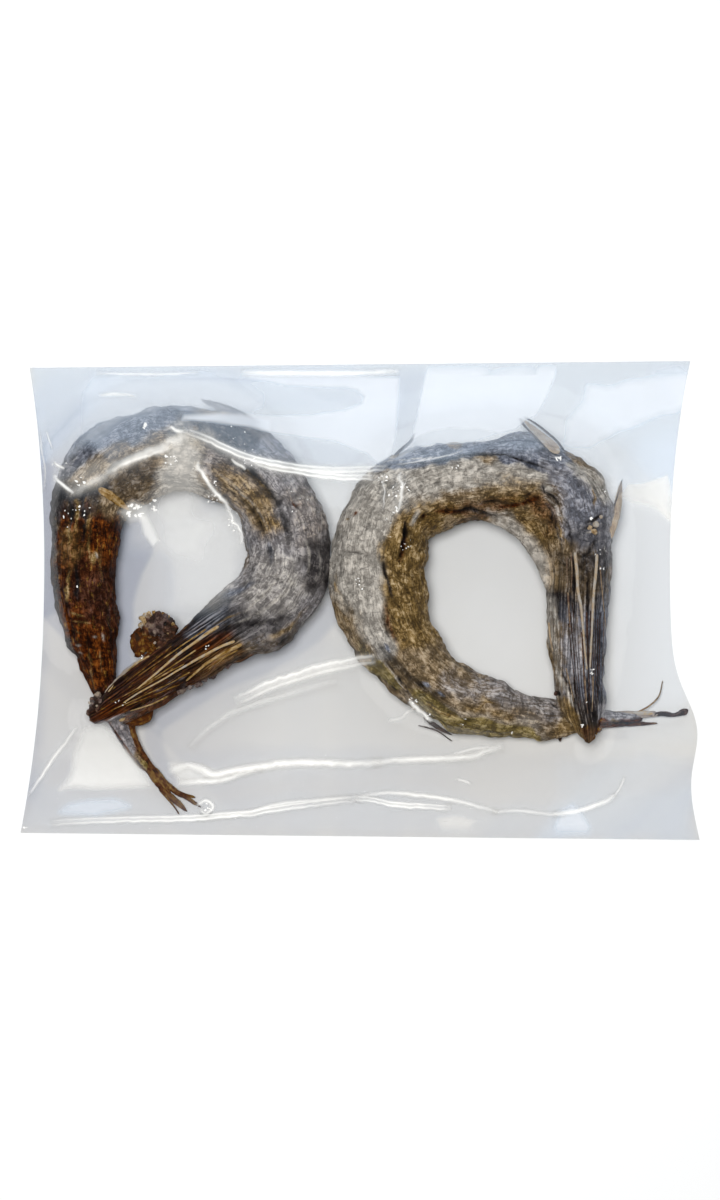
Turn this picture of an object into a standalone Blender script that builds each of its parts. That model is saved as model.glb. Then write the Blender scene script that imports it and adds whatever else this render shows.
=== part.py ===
"""A clear sealed pouch with two smoked barracudas in it, lying flat.

Each fish was bent into a ring before it was smoked: it lies belly up, and its
head crosses over its own tail. The pouch is one closed solid with a flat
underside. Its upper side is the film, drawn over the two fish and sagging a
little in the middle of each ring, down to two straight seal bands and two
folded sides that the fish have pulled in.

Metres, +Z up. The origin is under the middle of the pouch; +Y points from the
tails to the bends of the bodies.
"""
import bmesh
import bpy
import numpy as np

MM = 0.001

# The pouch
POUCH_LENGTH = 338 * MM         # along each seal band
POUCH_WIDTH = 244 * MM          # from seal to seal, at its widest
LEFT_END_SHORTER = 3.5 * MM     # how far each seal runs in towards the left end
SIDE_DRAW_LEFT = 9.5 * MM       # how far the fish pull each folded side in
SIDE_DRAW_RIGHT = 12.5 * MM
SIDE_DRAW_POWER = 2.2
TAIL_BULGE = 9 * MM             # the right side is pushed out by the tail
TAIL_BULGE_Y = -66 * MM
TAIL_BULGE_REACH = 22 * MM
SEAL_BAND = 6 * MM              # height of each seal band
EDGE_THICKNESS = 1.2 * MM
FILM_GAP = 0.8 * MM             # the film stands this clear of the fish
FILM_SAG = 24.0                 # curvature of the free film, per metre
FILM_CELL = 4.4 * MM            # size of one facet

# A fish, from its snout to the fork of its tail, in millimetres:
# x, y, half its width, half its height, height of its axis
LEFT_FISH = (
    (-132, -62, 5.0, 4.0, 20.0), (-121, -56, 8.0, 6.0, 20.0),
    (-106, -46, 10.8, 8.5, 20.0), (-91, -35.5, 12.6, 10.5, 20.0),
    (-78, -27.5, 14.5, 12.5, 19.5), (-64, -18, 16.6, 14.5, 19.0),
    (-49, -8, 19.5, 16.5, 18.5), (-38.5, 6, 21.5, 17.5, 18.5),
    (-36, 22, 21.6, 17.5, 18.5), (-40, 37.5, 21.6, 18.0, 19.0),
    (-47.5, 49.5, 22.0, 18.0, 19.0), (-59, 60, 23.0, 18.0, 19.0),
    (-75, 68, 25.0, 18.0, 19.0), (-95, 70.5, 25.2, 18.0, 19.0),
    (-113.5, 67, 24.5, 18.0, 18.5), (-127, 57.5, 22.5, 17.5, 18.0),
    (-135, 43.5, 20.0, 17.0, 17.5), (-137.5, 25, 17.5, 16.0, 17.0),
    (-137, 3, 16.4, 14.5, 15.5), (-134.5, -15, 14.6, 12.5, 13.5),
    (-132, -31, 12.0, 10.5, 11.5), (-129, -46, 9.0, 8.0, 9.0),
    (-122.5, -58, 7.0, 5.5, 6.5), (-115.5, -69.5, 5.2, 4.0, 5.0),
    (-109, -79, 4.0, 3.0, 4.0), (-102, -90, 2.5, 2.0, 3.0),
    (-92, -99, 4.5, 1.5, 2.5),
)
RIGHT_FISH = (
    (112.6, -74, 4.5, 4.0, 20.0), (112, -67, 7.0, 5.5, 20.0),
    (110.5, -60, 10.5, 7.0, 20.0), (108.5, -48, 13.4, 9.5, 20.0),
    (108.5, -31, 14.8, 12.5, 19.5), (109, -10, 15.8, 14.0, 19.0),
    (110, 11, 17.0, 15.5, 18.5),
    (109, 32, 19.0, 17.0, 18.0), (102, 50, 23.0, 18.0, 19.0),
    (83, 57, 23.5, 18.0, 19.0), (60, 57, 21.0, 18.0, 19.0),
    (35, 53.5, 22.0, 18.0, 19.0), (15.5, 40, 23.0, 18.0, 19.0),
    (9, 16.5, 24.0, 18.0, 19.0), (11, -8, 23.5, 17.5, 18.5),
    (19.5, -28.5, 22.5, 17.0, 18.0), (35, -47, 19.5, 15.5, 16.5),
    (56, -57, 15.0, 13.0, 14.0), (79.5, -60, 11.5, 9.5, 10.5),
    (99, -62, 9.5, 6.0, 7.0), (114, -62.5, 7.0, 5.0, 6.0),
    (129, -62, 4.0, 3.5, 4.5), (145, -61.5, 3.0, 2.5, 3.5),
    (160, -60, 2.5, 1.2, 2.2),
)
ROUTE_STEPS = 12                # samples from one of those places to the next

# How the film is settled over the fish
SETTLE_LEVELS = 4               # coarse to fine
SETTLE_PASSES = 260             # at each level

FILM_COLOUR = (0.42, 0.36, 0.30, 1.0)
FILM_ROUGHNESS = 0.22


def smooth_route(rows):
    """A smooth curve through a fish's places, as an array of its samples."""
    rows = np.array(rows) * MM
    ends = np.vstack((2 * rows[0] - rows[1], rows, 2 * rows[-1] - rows[-2]))
    samples = []
    for before, start, end, after in zip(ends, ends[1:], ends[2:], ends[3:]):
        for t in np.arange(ROUTE_STEPS) / ROUTE_STEPS:
            curve = (2 * start + (end - before) * t
                     + (2 * before - 5 * start + 4 * end - after) * t ** 2
                     + (3 * start - before - 3 * end + after) * t ** 3)
            samples.append(curve / 2)
    samples.append(rows[-1])
    return np.array(samples)


def fish_top(x, y):
    """Height of the fish under each place, and 0 where there is none."""
    top = np.zeros_like(x)
    for route in (smooth_route(LEFT_FISH), smooth_route(RIGHT_FISH)):
        for sample_x, sample_y, half_width, half_height, axis in route:
            away = ((x - sample_x) ** 2 + (y - sample_y) ** 2) / half_width ** 2
            under = away < 1
            height = axis + half_height * np.sqrt(np.where(under, 1 - away, 0))
            top = np.where(under, np.maximum(top, height), top)
    return top


def pouch_place(u, v):
    """Where the film at u along and v across the pouch, each -1 to 1, lies."""
    across = POUCH_WIDTH / 2 - LEFT_END_SHORTER * (1 - u) / 2
    y = v * across
    drawn = 1 - np.abs(v) ** SIDE_DRAW_POWER
    bulge = TAIL_BULGE * np.exp(-((y - TAIL_BULGE_Y) / TAIL_BULGE_REACH) ** 2)
    left = -POUCH_LENGTH / 2 + SIDE_DRAW_LEFT * drawn
    right = POUCH_LENGTH / 2 - SIDE_DRAW_RIGHT * drawn
    right = np.minimum(right + bulge, POUCH_LENGTH / 2)
    x = left + (right - left) * (u + 1) / 2
    return x, y


def pouch_lines(cells_along, cells_across):
    """The grid lines of the film; the outer ones across bound the seal bands."""
    u = np.linspace(-1, 1, cells_along + 1)
    band = 2 * SEAL_BAND / POUCH_WIDTH
    inner = np.linspace(-1 + band, 1 - band, cells_across - 1)
    v = np.concatenate(([-1], inner, [1]))
    return np.meshgrid(u, v, indexing="ij")


def settle_film(cells_along, cells_across):
    """x, y and height of the film, drawn over the fish like a taut skin."""
    height = None
    for level in reversed(range(SETTLE_LEVELS)):
        along = max(cells_along >> level, 8)
        across = max(cells_across >> level, 8)
        x, y = pouch_place(*pouch_lines(along, across))
        floor = fish_top(x, y)
        floor = np.where(floor > 0, floor + FILM_GAP, EDGE_THICKNESS)
        if height is None:
            height = floor.copy()
        else:
            height = resize(height, floor.shape)
        cell = POUCH_LENGTH / along
        for _ in range(SETTLE_PASSES):
            mean = (height[2:, 1:-1] + height[:-2, 1:-1]
                    + height[1:-1, 2:] + height[1:-1, :-2]) / 4
            mean -= FILM_SAG * cell ** 2 / 4
            height[1:-1, 1:-1] = np.maximum(mean, floor[1:-1, 1:-1])
            height[[0, -1], :] = EDGE_THICKNESS
            height[:, [0, 1, -2, -1]] = EDGE_THICKNESS
    return x, y, height


def resize(field, shape):
    """The same field on a grid of another shape."""
    for axis, count in enumerate(shape):
        old = np.linspace(0, 1, field.shape[axis])
        new = np.linspace(0, 1, count)
        field = np.apply_along_axis(lambda line: np.interp(new, old, line),
                                    axis, field)
    return field


def make_pouch():
    """The pouch as one solid: the film's upper side over a flat underside."""
    cells_along = round(POUCH_LENGTH / FILM_CELL)
    cells_across = round(POUCH_WIDTH / FILM_CELL)
    x, y, height = settle_film(cells_along, cells_across)
    shape = bmesh.new()
    bmesh.ops.create_grid(shape, x_segments=cells_along,
                          y_segments=cells_across, size=1)
    for vertex in shape.verts:
        i = round((vertex.co.x + 1) / 2 * cells_along)
        j = round((vertex.co.y + 1) / 2 * cells_across)
        vertex.co = (x[i, j], y[i, j], height[i, j])
    rim = [edge for edge in shape.edges if edge.is_boundary]
    skirt = bmesh.ops.extrude_edge_only(shape, edges=rim)["geom"]
    for part in skirt:
        if isinstance(part, bmesh.types.BMVert):
            part.co.z = 0
    base_rim = [part for part in skirt if isinstance(part, bmesh.types.BMEdge)
                and part.is_boundary]
    bmesh.ops.triangle_fill(shape, use_beauty=True, use_dissolve=False,
                            edges=base_rim, normal=(0, 0, -1))
    bmesh.ops.triangulate(shape, faces=shape.faces)
    bmesh.ops.recalc_face_normals(shape, faces=shape.faces)
    mesh = bpy.data.meshes.new("bag")
    shape.to_mesh(mesh)
    shape.free()
    mesh.shade_smooth()
    pouch = bpy.data.objects.new("bag", mesh)
    bpy.context.collection.objects.link(pouch)
    return pouch


def make_material():
    """Clear film over brown fish, as one plain colour."""
    material = bpy.data.materials.new("film")
    material.use_nodes = True
    shader = material.node_tree.nodes["Principled BSDF"]
    shader.inputs["Base Color"].default_value = FILM_COLOUR
    shader.inputs["Roughness"].default_value = FILM_ROUGHNESS
    shader.inputs["Metallic"].default_value = 0.0
    return material


for leftover in list(bpy.data.objects):
    bpy.data.objects.remove(leftover)
make_pouch().data.materials.append(make_material())
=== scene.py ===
"""A clear sealed pouch with two smoked barracudas, laid out as a Blender add-on.

Each fish is one skin, rolled up from a grid along its bent line, with its jaw
bones, fins, tail and loose scraps as pieces of their own. The film is drawn
over both of them in the same way as the solid pouch that it replaces.
Metres, +Z up. s is the way along a fish from its snout; side is the place
across it, from -1 at the inside of the ring, over 0 at the belly, which is on
top, to 1 at the outside. Marks on the skins and on the film are placed as the
camera sees them, in pixels of its picture, where 2 pixels are 1 mm.
"""
from functools import cache
from itertools import product

import bmesh
import bpy
import numpy as np
from bpy.props import FloatProperty, FloatVectorProperty, PointerProperty
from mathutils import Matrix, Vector


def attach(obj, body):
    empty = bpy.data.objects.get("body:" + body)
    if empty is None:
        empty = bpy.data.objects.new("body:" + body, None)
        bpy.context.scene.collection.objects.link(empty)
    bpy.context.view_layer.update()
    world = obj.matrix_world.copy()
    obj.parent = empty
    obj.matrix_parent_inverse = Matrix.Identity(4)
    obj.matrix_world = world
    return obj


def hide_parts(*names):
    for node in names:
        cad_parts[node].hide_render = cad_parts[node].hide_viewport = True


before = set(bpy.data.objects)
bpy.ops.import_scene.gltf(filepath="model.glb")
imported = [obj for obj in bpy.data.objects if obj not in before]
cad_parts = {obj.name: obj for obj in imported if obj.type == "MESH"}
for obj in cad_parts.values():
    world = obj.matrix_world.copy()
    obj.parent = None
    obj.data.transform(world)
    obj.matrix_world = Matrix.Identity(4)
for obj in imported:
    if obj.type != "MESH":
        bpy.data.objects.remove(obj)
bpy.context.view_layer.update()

bl_info = {
    "name": "Smoked fish pouch",
    "version": (1, 0, 0),
    "blender": (4, 5, 0),
    "location": "View3D > Sidebar > Pouch",
    "description": "Builds a clear pouch with two smoked fish bent into rings",
    "category": "Object",
}

MM = 0.001
BODY = "root"

# The pouch, as the solid has it
POUCH_LENGTH = 338 * MM
POUCH_WIDTH = 244 * MM
LEFT_END_SHORTER = 3.5 * MM
SIDE_DRAW_LEFT = 9.5 * MM
SIDE_DRAW_RIGHT = 12.5 * MM
SIDE_DRAW_POWER = 2.2
TAIL_BULGE = 9 * MM
TAIL_BULGE_Y = -66 * MM
TAIL_BULGE_REACH = 22 * MM
SEAL_BAND = 6 * MM
SEAL_SHARE = 2 * SEAL_BAND / POUCH_WIDTH
EDGE_THICKNESS = 1.2 * MM
FILM_GAP = 0.8 * MM
FILM_SAG = 24.0
LOWER_SHEET = 0.25 * MM         # height of the lower sheet's rim
SHARP_EDGE = np.radians(50)     # the film is smooth up to this angle

# Each fish, from its snout to the fork of its tail, in millimetres:
# x, y, half its width, half its height, height of its axis
LEFT_FISH = (
    (-132, -62, 5, 4, 20), (-121, -56, 8, 6, 20), (-106, -46, 10.8, 8.5, 20),
    (-91, -35.5, 12.6, 10.5, 20), (-78, -27.5, 14.5, 12.5, 19.5), (-64, -18, 16.6, 14.5, 19),
    (-49, -8, 19.5, 16.5, 18.5), (-38.5, 6, 21.5, 17.5, 18.5), (-36, 22, 21.6, 17.5, 18.5),
    (-40, 37.5, 21.6, 18, 19), (-47.5, 49.5, 22, 18, 19), (-59, 60, 23, 18, 19), (-75, 68, 25, 18, 19),
    (-95, 70.5, 25.2, 18, 19), (-113.5, 67, 24.5, 18, 18.5), (-127, 57.5, 22.5, 17.5, 18),
    (-135, 43.5, 20, 17, 17.5), (-137.5, 25, 17.5, 16, 17), (-137, 3, 16.4, 14.5, 15.5),
    (-134.5, -15, 14.6, 12.5, 13.5), (-132, -31, 12, 10.5, 11.5), (-129, -46, 9, 8, 9),
    (-122.5, -58, 7, 5.5, 6.5), (-117, -69, 5.2, 4, 5), (-111.5, -79, 3.8, 3, 4),
    (-103.5, -90, 2.5, 2, 3), (-92, -99, 4.5, 1.5, 2.5),
)
RIGHT_FISH = (
    (112.6, -74, 4.5, 4, 20), (112, -67, 7, 5.5, 20), (110.5, -60, 10.5, 7, 20),
    (108.5, -48, 13.4, 9.5, 20), (108.5, -31, 14.8, 12.5, 19.5), (109, -10, 15.8, 14, 19),
    (110, 11, 17, 15.5, 18.5), (109, 32, 19, 17, 18), (102, 50, 23, 18, 19), (83, 57, 23.5, 18, 19),
    (60, 57, 21, 18, 19), (35, 53.5, 22, 18, 19), (15.5, 40, 23, 18, 19), (9, 16.5, 24, 18, 19),
    (11, -8, 23.5, 17.5, 18.5), (19.5, -28.5, 22.5, 17, 18), (35, -47, 19.5, 15.5, 16.5),
    (56, -57, 15, 13, 14), (79.5, -60, 11.5, 9.5, 10.5), (99, -62, 9.5, 6, 7), (114, -62.5, 7, 5, 6),
    (129, -62, 4, 3.5, 4.5), (145, -61.5, 3, 2.5, 3.5), (160, -60, 2.5, 1.2, 2.2),
)

ROUTE_STEPS = 12                # samples from one place of a line to the next
SNOUT_ROUND = 0.35              # how far a snout is rounded, in half widths
HEADING_BLUR = 25               # samples over which a fish's heading is evened
TAIL_CAP = 10 * MM              # over which a body closes at its tail end
LEFT_BODY_END = 417 * MM        # where each skin ends, at the root of its tail fin
RIGHT_BODY_END = 424 * MM
HEAD_END = 88 * MM              # where the relief of a head gives way to the body's
COMB_END = 80 * MM              # where the strands of a head's skin end
LEFT_COMBED = 0.9               # how strong the strands are
RIGHT_COMBED = 0.42
HEAD_BLEND = 24 * MM            # the length of either change
THICK_FISH = 24 * MM            # width and height together that have the full relief
TEAR_SIZE, WEAR_SIZE = 9 * MM, 2.4 * MM     # bumps of the marks' ragged edges
DENT_SIZE = 13 * MM             # bumps of the shrunken flesh
PATCH_EDGE, PATCH_GROWN = 1.7, 0.35         # in a patch's softness
PATCH_TEAR, SOFT_TEAR = 2.5, 0.5            # pixels, and in its softness
STROKE_SWAY = (1.2, 0.8)        # pixels across and down
STROKE_END, STROKE_TAPER = 0.06, 0.4        # how a stroke thins out
STROKE_WORN = 0.35
UNDER_SHEET = 0.7 * MM          # a fish lies on the lower sheet at this height
UNDER_FILM = 0.25 * MM          # and stays this far under the upper one

# How finely things are made
SKIN_CELL = 0.58 * MM
SKIN_AROUND = 124               # cells round a body
FILM_CELL = 1.05 * MM
CELLS_ALONG = round(POUCH_LENGTH / FILM_CELL)
CELLS_ACROSS = round(POUCH_WIDTH / FILM_CELL)
FEWEST_CELLS = 8                # of the coarsest level
SETTLE_LEVELS = 6
SETTLE_PASSES = 260
FINEST_CELL = 0.25 * MM         # of a bone, a fin or a tail ray
COARSEST_CELL = 0.7 * MM
BONE_STEP = 6                   # pixels from one sample of a bone to the next
BONE_SUNK = 0.15 * MM
BONE_ROUGH = 0.05               # mm
FOLD_STEP = 1.0                 # likewise of a fold
CELLS_OVER_FOLD = 14
LUMP_FINENESS = 4
LUMP_GRAIN = (2.0, 0.3, 1.0)    # how the grain of a lump is stretched
FILM_STEPS = 3                  # how often a place on the film is put right
WELD = 2e-6                     # points this close are one
FLAT_EDGE = 1e-7                # and an edge this short is none

# The picture, and the camera that takes it
PICTURE = (720, 1200)           # pixels
LENS, SENSOR = 72.0, 36.0       # mm
FOCAL = LENS / SENSOR * PICTURE[1]
CAMERA_DISTANCE = 1.2
CAMERA_TILT = np.radians(8.0)
CAMERA_TARGET = (0.0, -3 * MM, 12 * MM)
SIGHT_HEIGHT = 20 * MM          # where a sight line is first taken to land
SIGHT_STEPS = 8                 # how often that is put right

# The folds and crumples of the film, and its painted highlights, reflections and shade
FOLD_RIM = 2 * MM               # height over which folds start at the film's edges
HALO, HALO_REACH = 0.22, 1.6    # faint painted highlight round a fold, reaching so many of its half widths
WAVE, WAVE_SIZE = 0.35, 26 * MM             # height in mm
CRUMPLE, CRINKLE, CRUMPLE_SIZE = 0.05, 0.4, 5 * MM
PANE_TEAR, PANE_TEAR_SIZE = 0.25, 16 * MM   # share of a pane's softness
FOLD_LIFT, FOLD_CROWN = 0.10, 0.15          # mm, and share of its rise
THINNEST_EDGE = 0.8             # in edge thicknesses
CRINKLE_REACH = 1.5             # in reaches of a cluster of facets
FACET_LIFT = 0.3 * MM
FACET_SIDES = 7

# The looks of charred bone and of the film, and the colours of the film's painted shadow, light,
# reflections and highlights
SOOT = (0.03, 0.014, 0.006)
PAINTED_SHADOW_TINT = (0.60, 0.63, 0.72)     # painted shadow: what the film lets through under a pane of shade
PAINTED_LIGHT_TINT = (0.985, 0.99, 1.0)       # painted light: what the film lets through where a pane of shade is below 0
# painted reflection of a bright sky, painted highlight of the panes, and painted highlight of the folds
# and glints
PAINTED_SKY_REFLECTION = (0.74, 0.785, 0.85)
PAINTED_PANE_HIGHLIGHT = (0.86, 0.855, 0.825)
GLEAM = (0.95, 0.94, 0.91)
FILM_IOR = 1.5
MOST_GLEAM = 0.11               # share of its surroundings that film reflects
HAZE_ROUGHNESS = 0.35

# The stage: size, place and colour of each light, and the floor
WINDOW = ((1.6, 1.0), (0.1, 1.2, 0.62), (0.80, 0.90, 1.0))
TOP = ((0.5, 0.5), (-0.12, -0.08, 1.5), (1.0, 0.995, 0.98))
SKY_COLOUR = (0.95, 0.97, 1.0)
SKY_STRENGTH, SKY_IN_GLEAMS = 0.22, -0.17   # the second is added in reflections
FLOOR_HALF = 1.6
FLOOR_COLOURS = ((0.88, 0.88, 0.88), (0.9, 0.9, 0.9))

# The marks are placed in the picture. The places of a line, and the corners of a
# patch or a pane, are one row of numbers, across and down by turns.

# The skins' colours, each over those before it
MASKS = ("grey", "blue", "pale", "brown", "gold", "olive", "red", "char")
# Patches of them: mask, strength, softness of the edge in pixels, and corners
LEFT_PATCHES = (
    ("grey", 0.8, 14, (186, 425, 262, 425, 330, 480, 335, 610, 250, 650, 196, 640, 170, 610, 250, 560,
        232, 510, 195, 470)),
    ("blue", 0.9, 9, (50, 470, 70, 425, 110, 395, 190, 400, 188, 418, 172, 424, 155, 433, 132, 441,
        108, 446, 88, 462, 60, 480)),
    ("blue", 0.55, 12, (182, 415, 262, 425, 288, 450, 250, 447, 215, 436, 196, 428)),
    ("char", 0.9, 7, (180, 416, 262, 420, 268, 438, 246, 444, 215, 438, 194, 430)),
    ("char", 0.3, 14, (146, 412, 200, 410, 200, 430, 150, 430)),
    ("pale", 0.3, 16, (62, 492, 66, 468, 95, 448, 128, 444, 150, 436, 182, 430, 170, 446, 120, 466,
        96, 488)),
    ("char", 0.5, 12, (104, 480, 126, 462, 150, 462, 160, 474, 140, 492, 110, 494)),
    ("char", 0.75, 9, (40, 488, 66, 482, 104, 490, 96, 520, 58, 532, 40, 540)),
    ("red", 1, 13, (40, 515, 96, 516, 126, 528, 124, 600, 124, 690, 100, 706, 80, 690, 40, 620)),
    ("char", 0.42, 16, (78, 560, 116, 566, 118, 622, 84, 620)),
    ("grey", 0.05, 16, (80, 566, 112, 566, 116, 618, 86, 616)),
    ("blue", 0.6, 5, (36, 470, 56, 484, 54, 530, 48, 560, 54, 610, 66, 640, 48, 640, 36, 560)),
    ("char", 0.85, 5, (36, 480, 60, 490, 58, 530, 52, 560, 57, 610, 72, 654, 60, 650, 40, 600, 30, 560)),
    ("pale", 0.9, 14, (156, 500, 162, 466, 172, 430, 196, 426, 198, 470, 204, 500, 186, 510)),
    ("gold", 0.3, 12, (196, 432, 232, 462, 262, 486, 280, 520, 262, 540, 236, 505, 208, 468)),
    ("gold", 0.62, 15, (208, 468, 219, 469, 232, 480, 244, 487, 258, 497, 270, 511, 277, 524, 262, 528,
        250, 514, 238, 502, 226, 494, 215, 482)),
    ("brown", 0.35, 14, (284, 482, 310, 488, 326, 520, 322, 552, 300, 548, 292, 520)),
    ("pale", 0.5, 22, (236, 592, 246, 576, 262, 560, 284, 556, 300, 566, 306, 586, 300, 606, 282, 616,
        256, 614)),
    ("char", 0.75, 10, (309, 546, 332, 538, 330, 588, 312, 588, 305, 566)),
    ("char", 0.55, 14, (178, 632, 196, 606, 214, 588, 232, 600, 262, 618, 300, 622, 286, 640, 238, 652,
        212, 634)),
    ("char", 0.95, 5, (172, 634, 186, 616, 200, 608, 206, 616, 190, 630)),
    ("red", 0.95, 20, (70, 700, 104, 676, 150, 638, 182, 624, 228, 634, 244, 654, 190, 702, 150, 738,
        84, 738)),
    ("gold", 0.4, 10, (186, 680, 206, 652, 240, 638, 248, 650, 210, 676)),
    ("char", 0.5, 12, (96, 700, 126, 664, 170, 636, 204, 636, 194, 670, 140, 708)),
    ("char", 0.62, 9, (168, 650, 186, 628, 204, 606, 226, 604, 236, 622, 214, 632, 196, 644, 180, 658)),
    ("blue", 0.35, 9, (186, 632, 202, 612, 226, 606, 234, 620, 212, 630, 198, 640)),
    ("grey", 0.22, 5, (150, 692, 162, 684, 176, 676, 190, 678, 184, 688, 160, 698)),
    ("char", 0.4, 7, (78, 700, 96, 694, 104, 700, 98, 716, 84, 716)),
    ("grey", 0.7, 5, (104, 722, 134, 716, 140, 738, 132, 758, 118, 744)),
    ("gold", 0.4, 9, (56, 528, 80, 526, 82, 548, 68, 566, 56, 560)),
    ("red", 0.8, 4, (130, 712, 142, 712, 146, 748, 157, 768, 152, 772, 137, 752)),
    ("olive", 0.8, 5, (142, 762, 158, 758, 180, 790, 164, 792)),
)
RIGHT_PATCHES = (
    ("pale", 0.95, 9, (322, 580, 326, 500, 360, 476, 404, 470, 404, 500, 396, 520, 384, 540, 382, 562,
        384, 600, 381, 616, 388, 646, 380, 656, 364, 640, 352, 612, 340, 598)),
    ("gold", 0.85, 9, (386, 545, 398, 518, 414, 500, 450, 498, 470, 512, 440, 524, 440, 560, 436, 600,
        446, 634, 424, 644, 400, 640, 388, 612)),
    ("gold", 0.3, 10, (330, 596, 342, 598, 356, 614, 364, 640, 370, 662, 352, 660, 334, 624)),
    ("pale", 0.95, 12, (392, 462, 470, 458, 545, 462, 566, 480, 536, 482, 486, 484, 452, 496, 408, 500)),
    ("gold", 0.5, 12, (482, 488, 512, 480, 540, 482, 542, 496, 524, 504, 486, 502)),
    ("red", 0.45, 8, (440, 506, 466, 500, 514, 498, 534, 500, 500, 512, 496, 520, 452, 520, 446, 512)),
    ("gold", 0.7, 10, (512, 506, 548, 512, 556, 545, 562, 590, 548, 600, 540, 560, 520, 534)),
    ("pale", 0.75, 8, (490, 512, 510, 516, 530, 536, 548, 562, 552, 610, 536, 610, 532, 560, 500, 530)),
    ("blue", 1, 5, (376, 468, 400, 458, 412, 446, 428, 440, 455, 444, 472, 442, 500, 428, 545, 425,
        572, 450, 584, 474, 562, 474, 540, 466, 515, 460, 490, 452, 462, 454, 440, 461, 415, 464)),
    ("grey", 0.85, 12, (552, 468, 580, 466, 612, 500, 614, 560, 598, 552, 570, 540, 556, 510)),
    ("blue", 0.6, 14, (556, 476, 580, 476, 606, 510, 616, 560, 616, 640, 600, 640, 598, 560, 566, 530)),
    ("pale", 0.75, 7, (572, 462, 590, 458, 606, 474, 614, 496, 606, 502, 596, 488, 584, 476)),
    ("red", 0.5, 9, (534, 496, 552, 504, 558, 524, 548, 534, 530, 512)),
    ("char", 0.5, 9, (570, 524, 606, 520, 610, 548, 590, 556, 568, 548)),
    ("brown", 0.6, 9, (550, 545, 572, 545, 576, 600, 562, 606, 552, 592)),
    ("char", 0.9, 8, (549, 596, 558, 590, 567, 602, 567, 620, 558, 622)),
    ("char", 0.55, 14, (560, 556, 612, 556, 612, 640, 584, 640, 566, 600)),
    ("char", 0.75, 12, (570, 660, 614, 660, 614, 724, 578, 724)),
    ("blue", 0.7, 8, (598, 612, 614, 612, 614, 724, 600, 724)),
    ("blue", 0.55, 16, (558, 616, 610, 600, 612, 700, 576, 710, 560, 680)),
    ("grey", 0.6, 9, (560, 632, 580, 632, 582, 672, 564, 676)),
    ("char", 0.6, 8, (572, 700, 606, 700, 606, 730, 576, 730)),
    ("red", 0.5, 6, (576, 728, 602, 728, 602, 750, 576, 750)),
    ("grey", 0.5, 12, (446, 680, 474, 676, 480, 702, 452, 704)),
    ("grey", 0.6, 14, (482, 672, 562, 688, 566, 724, 536, 726, 486, 702)),
    ("gold", 0.55, 10, (444, 700, 480, 706, 516, 712, 548, 726, 520, 734, 460, 722)),
    # painted light: this pale band lifts the steep outer rim, which the top light leaves dark
    ("pale", 0.35, 6, (412, 694, 440, 708, 480, 716, 540, 724, 560, 742, 484, 748, 440, 736)),
    ("olive", 0.72, 3, (408, 690, 420, 690, 432, 700, 446, 711, 462, 719, 492, 722, 514, 725, 540, 734,
        540, 746, 484, 748, 446, 742, 416, 716)),
    ("olive", 0.85, 3, (358, 661, 378, 663, 390, 675, 398, 690, 388, 700, 366, 684)),
    ("olive", 0.6, 6, (352, 644, 368, 648, 372, 658, 358, 660)),
    ("pale", 0.8, 6, (368, 624, 380, 628, 389, 648, 384, 654, 372, 640)),
    ("grey", 0.9, 4, (600, 706, 652, 710, 652, 721, 600, 722)),
    ("red", 0.9, 4, (600, 720, 652, 720, 652, 732, 600, 732)),
    ("gold", 0.7, 5, (556, 696, 570, 700, 580, 716, 576, 736, 548, 738, 562, 716)),
    ("pale", 0.5, 4, (546, 598, 554, 598, 558, 640, 564, 684, 558, 696, 548, 650)),
)

# Trims draw the side of a body in: reach in pixels, depth in mm, and places.
# Strokes are folds, cracks and streaks of the skin: mask, strength, half width in
# pixels, depth in mm, and places.
LEFT_TRIMS = (
    (14, 5.6, (168, 493, 184, 497, 200, 504, 214, 512, 226, 522)),
    (12, 1.8, (96, 428, 120, 412, 146, 403, 176, 401, 210, 403)),
    (9, 3.4, (70, 660, 78, 678, 86, 694, 92, 706)),
    (9, -2, (58, 466, 68, 448, 80, 434, 94, 424)),
    (9, -1.8, (272, 432, 284, 444, 294, 460)),
    (12, -4.4, (270, 656, 298, 644, 314, 632, 328, 614)),
    (9, 1.5, (160, 726, 176, 716, 192, 706, 212, 694)),
    (8, -1.2, (232, 684, 246, 675, 262, 666)),
    (5, 0.9, (146, 772, 156, 788, 168, 804)),
    (5, -1, (152, 742, 160, 756, 166, 770)),
)
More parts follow.
